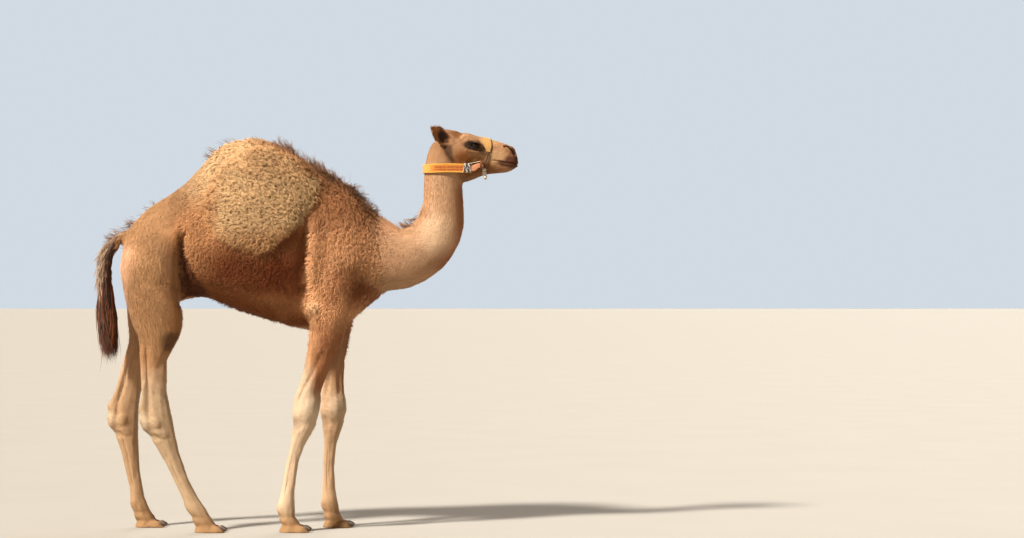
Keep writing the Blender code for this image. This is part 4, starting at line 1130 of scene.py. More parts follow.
def makeSkinLook():
    look = Board("skin", Roughness=0.85, Specular_IOR_Level=0.15)
    where = look.place()
    hairs = look.grain(look.stretch(where, (1.0, 1.0, 0.25)), 320, 4, 0.6)
    folds = look.grain(where, 60, 5, 0.6)
    tint = look.mix(hairs * 0.32, look.tint("markings"), (0.36, 0.24, 0.16), "MULTIPLY")
    height = look.bump(hairs * 0.6 + folds * 0.5, 0.0016, 0.7)
    look.feed(Base_Color=tint, Roughness=0.7 + 0.2 * hairs, Normal=height)
    return look


coatLook = makeCoatLook()
skin.data.materials.clear()

# which triangles of the skin each kind of coat grows on
centreX, centreY, centreZ = sideOf(centres)
isTail = tailShare(centres) > 0
isHead = (headShare(centres) > 0.5) & ~isTail
isLeg = (centreZ < 1.0) & (centreY > 0.02) & ~isTail & ~isHead
isFore = isLeg & (centreX > -0.25) & ((centreZ < 0.93) | (centreX > -0.1))
isHind = isLeg & ((centreX < -0.54) | ((centreX < -0.3) & (centreZ < 0.8))) & ~isFore
isFleece = (fleeceShare(centres, centreNormals) + 0.3 * noise(centres, 0.018, 41) > 0.5) & ~isTail
isRest = ~(isTail | isHead | isFore | isHind | isFleece)
neckEdge = centreX + 0.03 * noise(centres, 0.04, 42)
isNeck = isRest & (neckEdge > 0.335)
isFront = isRest & (isNeck | (centreX > 0.0))
isRump = isRest & (centreX + 0.02 * noise(centres, 0.04, 43) < -0.6)
isFlank = isRest & ~isFront & ~isRump
bare = np.maximum(step(0.05, 0.02, centreZ), isHead * step(0.93, 0.97, centreX))


def woolLength(points, normals):
    return 0.02 + 0.008 * fleeceShare(points, normals)


def bodyLength(points, normals):
    x, _, z = sideOf(points)
    long = 0.015 + 0.009 * step(-0.02, 0.05, x) * step(0.42, 0.32, x) * step(1.05, 1.2, z)
    long = long + 0.006 * step(1.3, 1.5, z) * step(-0.6, -0.35, x)
    belly = np.clip(-normals[:, 2], 0, 1) * step(-0.35, -0.2, x) * step(0.1, -0.05, x)
    return long + 0.014 * belly


def neckLength(points, normals):
    x, _, z = sideOf(points)
    d, _ = nearLine(x, z, ((0.38, 1.44), (0.47, 1.42), (0.53, 1.5)))
    return 0.011 + 0.007 * step(0.45, 0.34, x) + 0.018 * step(0.05, 0.0, d)


def legLength(points, normals):
    z = points[:, 2]
    return 0.006 + 0.003 * step(0.2, 0.6, z) + 0.008 * step(0.72, 0.98, z)


def headLength(points, normals):
    x, y, z = sideOf(points)
    poll = step(0.72, 0.66, x) * step(1.845, 1.86, z) * step(0.05, 0.02, y)
    rim = earShare(x - 0.25 * (z - 1.8), y, z) * step(0.75, 0.35, np.abs(normals[:, 1]))
    return 0.0045 + 0.003 * step(0.86, 0.72, x) + 0.014 * poll + 0.005 * step(1.67, 1.64, z) + 0.009 * rim


def tailLength(points, normals):
    return 0.05 + 0.045 * np.clip(-normals[:, 0], 0, 1)


def crestShare():
    x, y, z = centreX, centreY, centreZ
    line = bell(y, 0, 0.035) * step(0.1, 0.5, centreNormals[:, 2])
    lumps = step(0.0, 0.6, noise(centres, 0.035, 31))
    return line * addUp((  # back, hump's slope, withers, tuft, croup, mane and dock
        (step(-0.42, -0.34, x), step(-0.1, -0.2, x), 0.16),
        (step(-0.2, -0.08, x), step(0.1, 0.05, x), 0.8),
        (step(0.05, 0.1, x), step(0.34, 0.28, x), 0.7),
        (bell(x, -0.452, 0.018), 0.8),
        (bell(x, -0.735, 0.022), 0.7),
        (bell(x, 0.49, 0.04), step(0.02, 0.0, y), z < 1.56),
        (step(-0.8, -0.85, x), step(-0.955, -0.93, x), 0.6),
    )) * (0.06 + lumps) * (z > 1.3)


curlLine = (
    (-0.61, 1.56), (-0.52, 1.62), (-0.42, 1.62), (-0.46, 1.46), (-0.38, 1.36), (-0.24, 1.31), (-0.12, 1.34),
    (-0.06, 1.22), (-0.14, 1.14), (-0.4, 1.13), (-0.53, 1.2), (-0.62, 1.36),
)
curly = area(centreX, centreZ, curlLine, 0.03) * step(0.05, 0.08, centreY)
curly = isFlank * np.maximum(curly, step(1.6, 1.66, centreZ) * step(-0.5, -0.4, centreX))
seat = step(0.29, 0.42, neckEdge)  # shoulder curls thin out along the neck
armShare = isFore * step(0.77, 0.86, centreZ) * (0.35 + step(-0.2, 0.5, noise(centres, 0.03, 34)))
eyeGap = np.linalg.norm(np.stack([centres[:, 0], -centreY, centreZ], 1) - np.array(eyeMiddle), axis=1)
isEar = isHead & (centreX - 0.25 * (centreZ - 1.8) < 0.66) & (centreZ > 1.815) & (centreY > 0.05)
earEdge = isEar * step(0.85, 0.6, np.abs(centreNormals[:, 1]))
keel = bell(centreY, 0, 0.07) * step(-0.3, -0.7, centreNormals[:, 2]) * isRest
keel = keel * step(-0.44, -0.36, centreX) * step(0.26, 0.2, centreX)
keel = keel * (0.25 + step(-0.2, 0.5, noise(centres, 0.03, 33)))

wool = {
    "count": 16600, "length": woolLength, "width": 0.003, "rings": 2, "lift": (60, 24), "curl": 0.0035,
    "turns": 1.2, "pull": 0.6, "perClump": 4, "mess": 1.5, "root": 0.8, "tip": 1.1, "soft": 0.4,
    "stray": 0.0, "slot": "wool",
}
shaggy = {
    "count": 19500, "length": bodyLength, "width": 0.0025, "rings": 2, "lift": (42, 10), "curl": 0.003,
    "turns": 1.2, "pull": 0.35, "perClump": 3, "mess": 1.0, "root": 0.78, "tip": 1.14, "soft": 0.6,
    "stray": 0.3,
}
curls = {**shaggy, "count": 15500, "width": 0.003, "mottle": 1.6, "root": 0.72, "tip": 1.26, "mess": 1.2}
plain = {
    "count": 8500, "length": bodyLength, "width": 0.003, "rings": 2, "lift": (22, 3), "curl": 0.002,
    "turns": 0.8, "pull": 0.2, "perClump": 3, "mess": 0.4, "mottle": 0.7, "root": 0.88, "tip": 1.08,
    "flat": 0.35, "soft": 0.8,
}
sleek = {
    "count": 33000, "length": bodyLength, "width": 0.0028, "rings": 1, "lift": (21, 7), "pull": 0.15,
    "perClump": 3, "mess": 0.3, "mottle": 0.5, "root": 0.96, "tip": 1.04, "flat": 0.25, "sink": 0.0003,
    "soft": 0.85,
}
fine = {**sleek, "count": 31000, "length": neckLength, "width": 0.002, "lift": (20, 6), "mess": 0.2}
armCurls = {**curls, "count": 2800, "width": 0.0026, "perClump": 4}
foreShort = {**sleek, "count": 22500, "length": legLength, "width": 0.002, "lift": (22, 7), "mess": 0.2}
hindShort = {**foreShort, "count": 24500}
face = {
    **sleek, "count": 31000, "length": headLength, "width": 0.0012, "lift": (24, 8), "mess": 0.22,
    "sink": 0.0002,
}
fringe = {**face, "count": 1600, "length": 0.013, "width": 0.0013, "rings": 2, "lift": (26, 16), "mess": 0.5}
wisp = {
    "count": 1450, "length": 0.048, "width": 0.002, "rings": 4, "lift": (58, 22), "curl": 0.01,
    "turns": 0.6, "pull": 0.6, "perClump": 4, "mess": 1.5, "root": 0.9, "tip": 1.15,
    "streak": ("tail", 0.4), "slot": "tail_hair", "tone": "crest",
}
hung = {
    **wisp, "count": 1500, "length": 0.024, "rings": 2, "lift": (34, 20), "curl": 0.004,
    "streak": ("tail", 0.0), "slot": "coat", "tone": None,
}
for label, share, style in (
    ("fleece_right", isFleece * (centres[:, 1] < 0), wool),
    ("fleece_left", isFleece * (centres[:, 1] > 0), wool),
    ("coat_shoulders", isFront * (1 - seat), shaggy),
    ("coat_flank_curls", curly, curls),
    ("coat_flanks", isFlank * (1 - curly), plain),
    ("coat_rump", isRump, sleek),
    ("coat_neck", isFront * seat, fine),
    ("coat_arms", armShare, armCurls),
    ("coat_fore_legs", isFore * (1 - bare), foreShort),
    ("coat_hind_legs", isHind * (1 - bare), hindShort),
    ("ear_fringe", earEdge, fringe),
    ("coat_head", isHead * (1 - bare) * step(0.02, 0.026, eyeGap), face),
    ("crest_hair", crestShare(), wisp),
    ("belly_fringe", keel, hung),
):
    growHair(label, *scatter(share, style["count"]), style)


def hanging(share, count):  # hairs of the tail hang along it and stand off from its middle line
    roots = scatter(share, count)[0]
    x, _, z = sideOf(roots)
    _, t = nearLine(x, z, tailPath)
    at = np.linspace(0, 1, len(tailPath))
    axis = np.array(tailPath)
    lie = lineTangent(roots, tailPath)
    out = np.stack([x - np.interp(t, at, axis[:, 0]), roots[:, 1], z - np.interp(t, at, axis[:, 1])], 1)
    return roots, unit(flattened(out, lie)), lie


tailCoat = {
    "count": 3400, "length": tailLength, "width": 0.0034, "rings": 4, "lift": (15, 1), "curl": 0.004,
    "turns": 0.7, "pull": 0.5, "perClump": 7, "mess": 0.26, "root": 0.8, "tip": 1.15,
    "streak": ("tailPale", 0.12), "stray": 0.3, "slot": "tail_hair",
}
growHair("tail_hair", *hanging(isTail, tailCoat["count"]), tailCoat)

tailEnd = np.array((ahead - 0.927, 0.0, 0.8))


def switchLength(points, normals):
    strand = 0.95 + 0.13 * noise(points, 0.014, 51)
    return np.linalg.norm(tailEnd - points, axis=1) * strand * (0.58 + 0.47 * rng.random(len(points)))


switch = {
    "count": 2800, "length": switchLength, "width": 0.0042, "rings": 5, "lift": (16, -22), "curl": 0.006,
    "turns": 0.8, "pull": 0.4, "perClump": 9, "mess": 0.13, "vary": 0.25, "root": 0.8, "tip": 1.2,
    "streak": ("tailTip", 0.35), "stray": 0.0, "slot": "tail_hair", "tone": "tail",
}
roots, out, _ = hanging(isTail * (centreZ < 1.18) * step(1.2, 1.1, centreZ), switch["count"])
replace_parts(growHair("tail_tassel", roots, out, unit(tailEnd - roots), switch), "tail_switch")

eyeMake = {
    "segments": 48, "rings": 32, "cornea": 0.045, "stretch": (0.75, 1.0, 1.35), "scale": 60,
    "ring": (
        (0.0, (0.004, 0.003, 0.003)), (0.3, (0.006, 0.004, 0.004)), (0.38, (0.026, 0.013, 0.006)),
        (0.66, (0.02, 0.01, 0.005)), (0.78, (0.006, 0.004, 0.004)), (1.0, (0.014, 0.009, 0.007)),
    ),
}


def makeEyeLook(hand, front):
    wet = {"Roughness": 0.25, "Coat_Weight": 0.12, "Coat_Roughness": 0.03, "Specular_IOR_Level": 0.12}
    look = Board(f"eye_{hand}", **wet)
    where = look.place()
    spot = look.node("Mapping", {}, {"Vector": where, "Location": tuple(-front)}, vector=True)
    away = look.node("VectorMath", {"operation": "LENGTH"}, {0: spot * eyeMake["stretch"]}, out=1)
    streaks = look.grain(where, 900, 3)
    share = away * eyeMake["scale"] + streaks * 0.05
    ring = look.node("ValToRGB", {"stops": eyeMake["ring"]}, {"Fac": share}, vector=True)
    look.feed(Base_Color=ring, Normal=look.bump(streaks, 0.0002, 0.2))
    return look


def makeEye(side, hand):
    gaze, _, _ = eyeFrame(side)
    middle = eyePlace(side)
    bpy.ops.object.select_all(action="DESELECT")
    bpy.ops.mesh.primitive_uv_sphere_add(
        segments=eyeMake["segments"], ring_count=eyeMake["rings"], radius=eyeRadius, location=middle,
        rotation=Vector(gaze).to_track_quat("Z", "Y").to_euler(),
    )
    eye = bpy.context.active_object
    bpy.ops.object.transform_apply(location=True, rotation=True, scale=True)
    eye.name = eye.data.name = f"eyeball_{hand}"
    offset = pointsOf(eye.data) - np.array(middle)
    axial = offset @ gaze / eyeRadius
    bulge = 1 + eyeMake["cornea"] * step(0.8, 0.97, axial)  # the clear cornea stands a little proud
    setPoints(eye.data, np.array(middle) + offset * bulge[:, None])
    eye.data.shade_smooth()
    declare(eye, makeEyeLook(hand, middle + Vector(gaze) * eyeRadius), "eye", f"eye_{hand}")


for side, hand in hands:
    makeEye(side, hand)

lash = {
    "count": 220, "span": (0.1, 0.92), "length": 0.013, "width": 0.001, "rings": 3, "lift": (-6, 22),
    "pull": 0.2, "perClump": 5, "mess": 0.5, "root": 1.0, "tip": 1.0, "tone": "eyeRim",
}


def lashRoots(side):  # along the rim of the upper lid
    gaze, forward, up = eyeFrame(side)
    turn = np.linspace(*lash["span"], lash["count"]) * math.pi
    a = np.cos(turn) * lid["long"] * 1.02
    b = np.abs(np.sin(turn)) ** 0.85 * lid["up"] * 1.02
    out = np.sqrt((eyeRadius + lid["gap"] + 0.0006) ** 2 - np.minimum(a**2 + b**2, (eyeRadius * 0.98) ** 2))
    roots = np.array(eyePlace(side)) + gaze * out[:, None] + forward * a[:, None] + up * b[:, None]
    lie = unit(gaze * 0.9 + forward * (a / lid["long"])[:, None] * 0.5 - up * 0.15)
    normals = unit(np.cross(np.cross(lie, up), lie))
    return roots, normals, lie


growHair("eyelashes", *map(np.concatenate, zip(*(lashRoots(side) for side, _ in hands))), lash)


def makeNailLook():
    look = Board("nail", Roughness=0.42, Specular_IOR_Level=0.4)
    where = look.place()
    streak = look.grain(look.stretch(where, (40, 260, 90)), 1.0, 4, 0.6)
    worn = look.grain(where, 90, 4)
    colour = look.mix(streak * 0.6 + worn * 0.3, srgb(58, 46, 38), srgb(112, 90, 70))
    look.feed(Base_Color=colour, Roughness=0.34 + 0.3 * worn, Normal=look.bump(streak, 0.0008, 0.6))
    return look


claw = {"grow": 1.08, "long": 1.1, "narrow": 0.22, "tall": 0.78, "thin": 0.3, "sink": 0.0022}
nailLook = makeNailLook()
for name in [name for name in nodes if name.startswith("nail_")]:
    nail = copyOf([name], name.replace("nail", "claw"))
    applyModifier(nail, "SUBSURF", levels=2, render_levels=2)
    points = pointsOf(nail.data)
    middle = points.mean(0)
    offset = (points - middle) * claw["grow"]
    front = offset[:, 0] / np.abs(offset[:, 0]).max()
    offset[:, 0] *= claw["long"]
    offset[:, 1] *= 1 - claw["narrow"] * front
    offset[:, 2] = offset[:, 2] * (claw["tall"] - claw["thin"] * front) - claw["sink"] * (1 + front)
    setPoints(nail.data, middle + offset)
    nail.data.shade_smooth()
    declare(nail, nailLook, "nail", name)
print("eyes, lashes and nails")


class Outside:  # finds the outer face of CAD nodes, for pieces that stand for them
    def __init__(self, *names):
        points, faces = [], []
        for name in names:
            mesh = nodes[name].data
            start = len(points)
            points += [v.co.copy() for v in mesh.vertices]
            faces += [[start + i for i in p.vertices] for p in mesh.polygons]
        self.tree = BVHTree.FromPolygons(points, faces)

    def hit(self, centre, direction, reach):
        direction = Vector(direction).normalized()
        return self.tree.ray_cast(Vector(centre) + direction * reach, -direction, reach)[0]


def gridPiece(label, rows, uvs, thick=0.003):  # rows of points that share a count, given a wall inwards
    wide = len(rows[0])
    faces = []
    for i in range(len(rows) - 1):
        for a in range(i * wide, i * wide + wide - 1):
            faces.append((a, a + 1, a + wide + 1, a + wide))
    obj = addMesh(label, [tuple(p) for row in rows for p in row], faces)
    layer = obj.data.uv_layers.new(name="cloth")
    flat = np.array([uv for row in uvs for uv in row])
    index = np.empty(len(obj.data.loops), np.int32)
    obj.data.loops.foreach_get("vertex_index", index)
    layer.data.foreach_set("uv", flat[index].astype(np.float32).ravel())
    editAll(obj, bpy.ops.mesh.normals_make_consistent, inside=False)
    applyModifier(obj, "SOLIDIFY", thickness=thick, offset=-1.0)
    return obj


def carried(along, guide):  # two directions across a path, the first carried along it without twist
    first = np.zeros_like(along)
    guide = np.array(guide)
    for i, forward in enumerate(along):
        guide = guide - forward * (guide @ forward)
        guide = guide / max(np.linalg.norm(guide), 1e-9)
        first[i] = guide
    return first, np.cross(along, first)


def circle(first, second, turn):
    return first * np.cos(turn) + second * np.sin(turn)


def tubePiece(path, radius, sides=8, close=False):  # points and faces of a round cord through places
    path = np.asarray(path, float)
    count = len(path)
    along = np.roll(path, -1, 0) - np.roll(path, 1, 0)
    if not close:
        along[0], along[-1] = path[1] - path[0], path[-1] - path[-2]
    first, second = carried(unit(along), (0.3, 0.9, 0.2))
    radii = np.broadcast_to(radius, count)
    turn = np.arange(sides) / sides * math.tau
    turned = circle(first[:, None], second[:, None], turn[None, :, None])
    rings = path[:, None] + radii[:, None, None] * turned
    faces = []
    for i in range(count if close else count - 1):
        n = (i + 1) % count
        for k in range(sides):
            m = (k + 1) % sides
            faces.append((i * sides + k, i * sides + m, n * sides + m, n * sides + k))
    if not close:
        faces += [tuple(range(sides))[::-1], tuple((count - 1) * sides + k for k in range(sides))]
    return rings.reshape(-1, 3), faces


def joinTubes(label, tubes):
    points, faces = [], []
    for made, own in tubes:
        start = len(points)
        points += [tuple(p) for p in made]
        faces += [tuple(start + i for i in face) for face in own]
    obj = addMesh(label, points, faces)
    editAll(obj, bpy.ops.mesh.normals_make_consistent, inside=False)
    return obj


def resample(path, spacing):
    path = np.asarray(path, float)
    run = np.concatenate([[0], np.cumsum(np.linalg.norm(np.diff(path, axis=0), axis=1))])
    at = np.linspace(0, run[-1], max(3, int(run[-1] / spacing) + 1))
    return np.stack([np.interp(at, run, path[:, i]) for i in range(3)], 1), at


def softened(values, turns):  # each value drawn towards its neighbours, the ends held
    values = np.array(values, float)
    for _ in range(turns):
        values[1:-1] = values[1:-1] * 0.5 + (values[:-2] + values[2:]) * 0.25
    return values


def twisted(path, radius, strands=3, pitch=0.012, spacing=0.0012, sides=7):  # a rope laid round a path
    path, run = resample(path, spacing)
    first, second = carried(unit(np.gradient(path, axis=0)), (0.2, 0.9, 0.35))
    tubes = []
    for k in range(strands):
        turn = run / pitch * math.tau + k * math.tau / strands
        centre = path + circle(first, second, turn[:, None]) * radius * 0.52
        tubes.append(tubePiece(centre, radius * 0.52, sides))
    return tubes


def weave(look, ribs, threads):  # ribs across a band and threads along it, as a height from 0 to 1
    places = look.node("UVMap", {"uv_map": "cloth"}, vector=True)
    u = look.node("SeparateXYZ", {}, {0: places}, out="X")
    v = look.node("SeparateXYZ", {}, {0: places}, out="Y")
    rib = look.wave("SINE", u * (math.tau / ribs))
    thread = look.wave("SINE", v * (math.tau / threads))
    return v, 0.5 + 0.25 * rib + 0.25 * rib * thread


def woven(look, colour, height, lint, dirt, shade, rough):  # shade between the threads, and their relief
    colour = look.mix((1 - height) * shade + lint * 0.12, colour, dirt)
    look.feed(Base_Color=colour, Roughness=rough, Normal=look.bump(height + lint * 0.2, 0.0009, 0.8))
    return look


strap = {
    "wide": 0.042, "edge": 0.0062, "rib": 0.0021, "thread": 0.0026, "step": 0.002, "across": 25,
    "middle": (srgb(212, 112, 34), srgb(232, 146, 56)), "border": (srgb(226, 164, 46), srgb(238, 190, 84)),
    # the dirt tone is painted shade between the threads, with lint specks
    "nape": (srgb(226, 158, 60), srgb(240, 186, 92)), "dirt": (0.3, 0.11, 0.03),
    "turns": (52, 256, 240), "settle": 12,
}
cloth = {"Specular_IOR_Level": 0.3, "Sheen_Weight": 0.2, "Sheen_Roughness": 0.4}


def makeStrapLook():
    look = Board("strap", Roughness=0.78, **cloth)
    v, height = weave(look, strap["rib"], strap["thread"])
    where = look.place()
    fade = look.grain(where, 26, 4)
    lint = look.grain(where, 900, 2)
    start = strap["wide"] / 2 - strap["edge"]
    isEdge = look.node("MapRange", {"interpolation_type": "SMOOTHSTEP"}, {
        "Value": look.wave("ABSOLUTE", v), "From Min": start, "From Max": start + 0.001,
    })
    isNape = look.node("Attribute", {"attribute_name": "plain"}, out="Fac")
    colour = look.mix(isEdge, look.mix(fade, *strap["middle"]), look.mix(fade, *strap["border"]))
    colour = look.mix(isNape, colour, look.mix(fade, *strap["nape"]))
    return woven(look, colour, height, lint, strap["dirt"], 0.55, 0.7 + 0.2 * fade)


def makeStrap():
    outer = Outside("halter_strap", "halter_cheek_right", "halter_cheek_left")
    low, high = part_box("halter_strap")
    level = (low[2] + high[2]) / 2
    centre = Vector((ahead + 0.7, 0, level))
    start, sweep, count = strap["turns"]
    places = []
    for i in range(count + 1):
        angle = math.radians(start + sweep * i / count)
        hit = outer.hit(centre, (math.cos(angle), math.sin(angle), 0), 0.4)
        if hit and hit.x < high[0] - 0.0005:
            places.append(hit)
    flat, run = resample(places, strap["step"])
    flat[:, :2] = softened(flat[:, :2], strap["settle"])
    along = unit(np.gradient(flat, axis=0))
    out = np.stack([along[:, 1], -along[:, 0], np.zeros(len(flat))], 1)
    out *= np.sign(np.sum(out * (flat - np.array(centre)), 1))[:, None]
    across = np.linspace(-0.5, 0.5, strap["across"]) * strap["wide"]
    edge = bell(np.abs(across) - strap["wide"] / 2 + strap["edge"] / 2, 0, strap["edge"] * 0.42)
    rib = 0.5 + 0.5 * np.sin(run / strap["rib"] * math.tau / 2)
    rows = []
    for i, base in enumerate(flat):
        sag = 0.0008 * math.sin(run[i] * 34)
        proud = 0.0002 + 0.0007 * edge + 0.00018 * rib[i] * (1 - edge)
        rows.append([base + out[i] * p + np.array((0, 0, a + sag)) for p, a in zip(proud, across)])
    uvs = [[(at, a) for a in across] for at in run]
    band = gridPiece("halter_band", rows, uvs)
    points = pointsOf(band.data)
    fromNape = np.hypot(points[:, 0] - flat[len(flat) // 2, 0], points[:, 1])
    plain = band.data.attributes.new(name="plain", type="FLOAT", domain="POINT")
    plain.data.foreach_set("value", step(0.075, 0.06, fromNape).astype(np.float32))
    declare(band, makeStrapLook(), "strap", "halter_strap")
    return flat, run, out


stitch = {
    "rows": (0.0056, -0.0066), "half": 0.0042, "apart": 0.0062, "thick": 0.00085, "reach": (0.006, 0.166),
    "bow": 0.0011, "proud": 0.0003, "tones": (srgb(82, 34, 26), srgb(140, 62, 34)),
}


def makeStitches(flat, run, out):  # two rows of upright dark stitches along the cheeks
    tubes = []
    near, far = stitch["reach"]
    for start, stop in ((near, far), (run[-1] - far, run[-1] - near)):
        for n in range(int((stop - start) / stitch["apart"])):
            i = int(np.searchsorted(run, start + n * stitch["apart"]))
            lean = (flat[min(i + 1, len(flat) - 1)] - flat[i]) * 0.12 * math.sin(n * 2.4)
            for height in stitch["rows"]:
                path = []
                for t in np.linspace(-1, 1, 7):
                    spot = flat[i] + out[i] * (stitch["bow"] * (1 - t * t) + stitch["proud"])
                    path.append(spot + np.array((0, 0, height + stitch["half"] * t)) + lean * t)
                tubes.append(tubePiece(path, stitch["thick"], 5))
    look = Board("stitch", Roughness=0.85)
    grain = look.grain(look.place(), 700, 3)
    look.feed(Base_Color=look.mix(grain, *stitch["tones"]), Normal=look.bump(grain, 0.0004, 0.5))
    declare(joinTubes("halter_stitches", tubes), look, "strap")


noseband = {
    "axis": 1.752, "middle": 0.836, "sweep": 71.0, "slant": 0.012, "wide": 0.042, "narrow": 0.016,
    "edge": 0.0006, "rib": 0.0022, "thread": 0.0024, "stripe": 0.0105, "settle": 10,
    # the dirt tone is painted shade between the threads, with lint specks
    "dirt": (0.24, 0.11, 0.04), "stripes": (srgb(222, 170, 92), srgb(206, 142, 66)),
    "faded": srgb(232, 188, 116), "hem": srgb(104, 66, 34),
}


def makeNosebandLook():
    look = Board("noseband", Roughness=0.8, **cloth)
    v, height = weave(look, noseband["rib"], noseband["thread"])
    fade = look.grain(look.place(), 30, 4)
    lint = look.grain(look.place(), 900, 2)
    stripe = look.wave("SINE", v * (math.tau / noseband["stripe"]))
    colour = look.mix(0.5 + 0.5 * stripe, *noseband["stripes"])
    colour = look.mix(fade * 0.6, colour, noseband["faded"])
    front = look.node("MapRange", {}, {"Value": v, "From Min": 0.016, "From Max": 0.0172, "To Max": 0.85})
    colour = look.mix(front, colour, noseband["hem"])
    return woven(look, colour, height, lint, noseband["dirt"], 0.5, 0.72 + 0.2 * fade)


def makeNoseband():
    outer = Outside("halter_noseband")
    axis = noseband["axis"]
    angles = np.linspace(-noseband["sweep"], noseband["sweep"], 141)
    across = np.linspace(-1, 1, 21)
    reach = np.zeros((len(angles), len(across)))
    xs = np.zeros_like(reach)
    for i, angle in enumerate(angles):
        share = abs(angle) / 72
        wide = noseband["wide"] + (noseband["narrow"] - noseband["wide"]) * step(0.45, 1.0, share)
        direction = (0, math.sin(math.radians(angle)), math.cos(math.radians(angle)))
        xs[i] = ahead + noseband["middle"] + noseband["slant"] * share + across * wide / 2 * 0.975
        for j, x in enumerate(xs[i]):
            hit = outer.hit((x, 0, axis), direction, 0.15)
            reach[i, j] = (hit - Vector((x, 0, axis))).length if hit else np.nan
        good = ~np.isnan(reach[i])  # a ray that slips past the edge takes its neighbour's reach
        reach[i, ~good] = np.interp(np.nonzero(~good)[0], np.nonzero(good)[0], reach[i, good])
    reach = softened(reach, noseband["settle"]) + noseband["edge"] * bell(1 - np.abs(across), 0, 0.22)
    turns = np.radians(angles)[:, None]
    rows = np.stack([xs, reach * np.sin(turns), axis + reach * np.cos(turns)], 2)
    uvs = [[(a * 0.072, b * 0.021) for b in across] for a in np.radians(angles)]
    declare(gridPiece("halter_nose_band", rows, uvs), makeNosebandLook(), "strap", "halter_noseband")


def cordLook(label, dark, light):
    look = Board(label, Roughness=0.85, Specular_IOR_Level=0.25)
    where = look.place()
    fibre = look.grain(where, 700, 4, 0.6)
    dirt = look.grain(where, 60, 4)
    colour = look.mix(fibre * 0.5 + dirt * 0.4, light, dark)
    look.feed(Base_Color=colour, Roughness=0.75 + 0.2 * fibre, Normal=look.bump(fibre, 0.0005, 0.7))
    return look


muzzleCord = {
    "thick": 0.0033, "pitch": 0.013, "spacing": 0.0016, "tones": (srgb(40, 30, 24), srgb(104, 80, 58)),
}


def makeMuzzleCord():
    points = pointsFrom(["halter_muzzle_cord"], "cordGuide")
    turn = np.degrees(np.arctan2(points[:, 1], points[:, 2] - noseband["axis"])) % 360
    order = np.argsort(turn)
    points, turn = points[order], turn[order]
    path = []
    for mark in np.linspace(turn[0] + 1, turn[-1] - 1, 34):
        near = np.abs(turn - mark) < 9
        weight = bell(turn[near], mark, 5)[:, None]
        path.append((points[near] * weight).sum(0) / weight.sum())
    rope = twisted(softened(path, 4), muzzleCord["thick"], 3, muzzleCord["pitch"], muzzleCord["spacing"])
    look = cordLook("muzzle_cord", *muzzleCord["tones"])
    declare(joinTubes("halter_cord", rope), look, "cord", "halter_muzzle_cord")


knot = {
    "size": 0.95, "turn": 0.5, "thick": 0.0052, "deep": 0.3, "band": (0.0075, 0.0058), "bandThick": 0.0034,
    "tones": (srgb(70, 40, 24), srgb(150, 96, 58)),
}


def knotPath(centre, out, size, turn, count=110):  # an overhand knot seen from outside
    t = np.linspace(0, math.tau, count, endpoint=False)
    u = (np.sin(t) + 2 * np.sin(2 * t)) / 3
    v = (np.cos(t) - 2 * np.cos(2 * t)) / 3
    w = -np.sin(3 * t) * knot["deep"]
    c, s = math.cos(turn), math.sin(turn)
    x, z = u * c - v * s, u * s + v * c
    return np.array(centre) + np.stack([x * size, np.array(w * size * out), z * size], 1)


def makeKnots():
    look = cordLook("knot_cord", *knot["tones"])
    ring = np.linspace(0, math.tau, 40, endpoint=False)
    band = np.stack([np.cos(ring) * knot["band"][0], np.sin(ring) * knot["band"][1], np.zeros(40)], 1)
    for side, hand in hands:
        low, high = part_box(f"halter_knot_{hand}")
        middle = (Vector(low) + Vector(high)) / 2
        path = knotPath(middle, side, (high[2] - low[2]) / 2 * knot["size"], knot["turn"])
        tubes = [tubePiece(path, knot["thick"], 9, True)]
        tubes.append(tubePiece(np.array(middle) + band, knot["bandThick"], 8, True))
        declare(joinTubes(f"halter_tie_{hand}", tubes), look, "cord", f"halter_knot_{hand}")


ropeEnd = {
    "thick": 0.0042, "sides": 8, "knots": ((0.16, 0.0112), (0.52, 0.012), (0.86, 0.0104)), "coilTurns": 2.6,
    "coilThick": 0.0033, "threads": 26, "spread": 0.0035, "threadThick": (0.0006, 0.0005, 0.0003),
    "tones": (srgb(150, 134, 112), srgb(238, 230, 214)),
}


def makeRopeEnd():  # a laid rope with three coiled knots and a frayed tip
    low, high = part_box("halter_tassel")
    points = pointsFrom(["halter_tassel"], "tasselGuide")
    path = []
    for level in np.linspace(high[2] - 0.002, low[2] + 0.004, 12):
        near = np.abs(points[:, 2] - level) < 0.007
        path.append(points[near].mean(0) * (1, 1, 0) + np.array((0, 0, level)))
    path = np.array(path)
    tubes = twisted(path, ropeEnd["thick"], sides=ropeEnd["sides"])
    for share, size in ropeEnd["knots"]:
        spot = np.array([np.interp(share * 11, np.arange(12), path[:, i]) for i in range(3)])
        turn = np.linspace(0, ropeEnd["coilTurns"] * math.tau, 90)
        swell = size * 0.58 * (1 - 0.25 * (np.linspace(-1, 1, 90) ** 2))
        drop = np.linspace(0.5, -0.5, 90) * size * 1.15
        coil = np.stack([np.cos(turn) * swell, np.sin(turn) * swell, drop], 1)
        tubes.append(tubePiece(spot + coil, ropeEnd["coilThick"], 9))
    for _ in range(ropeEnd["threads"]):
        a, spread = rng.random() * math.tau, ropeEnd["spread"] * rng.random() ** 0.5
        aside = np.array((math.cos(a), math.sin(a), 0)) * spread
        root = path[-1] + aside * 0.5 + (0, 0, 0.006)
        end = path[-1] + aside * 1.8 - (0, 0, 0.004 + 0.003 * rng.random())
        tubes.append(tubePiece([root, (root + end) / 2, end], np.array(ropeEnd["threadThick"]), 5))
    look = cordLook("white_rope", *ropeEnd["tones"])
    declare(joinTubes("halter_rope_end", tubes), look, "cord", "halter_tassel")


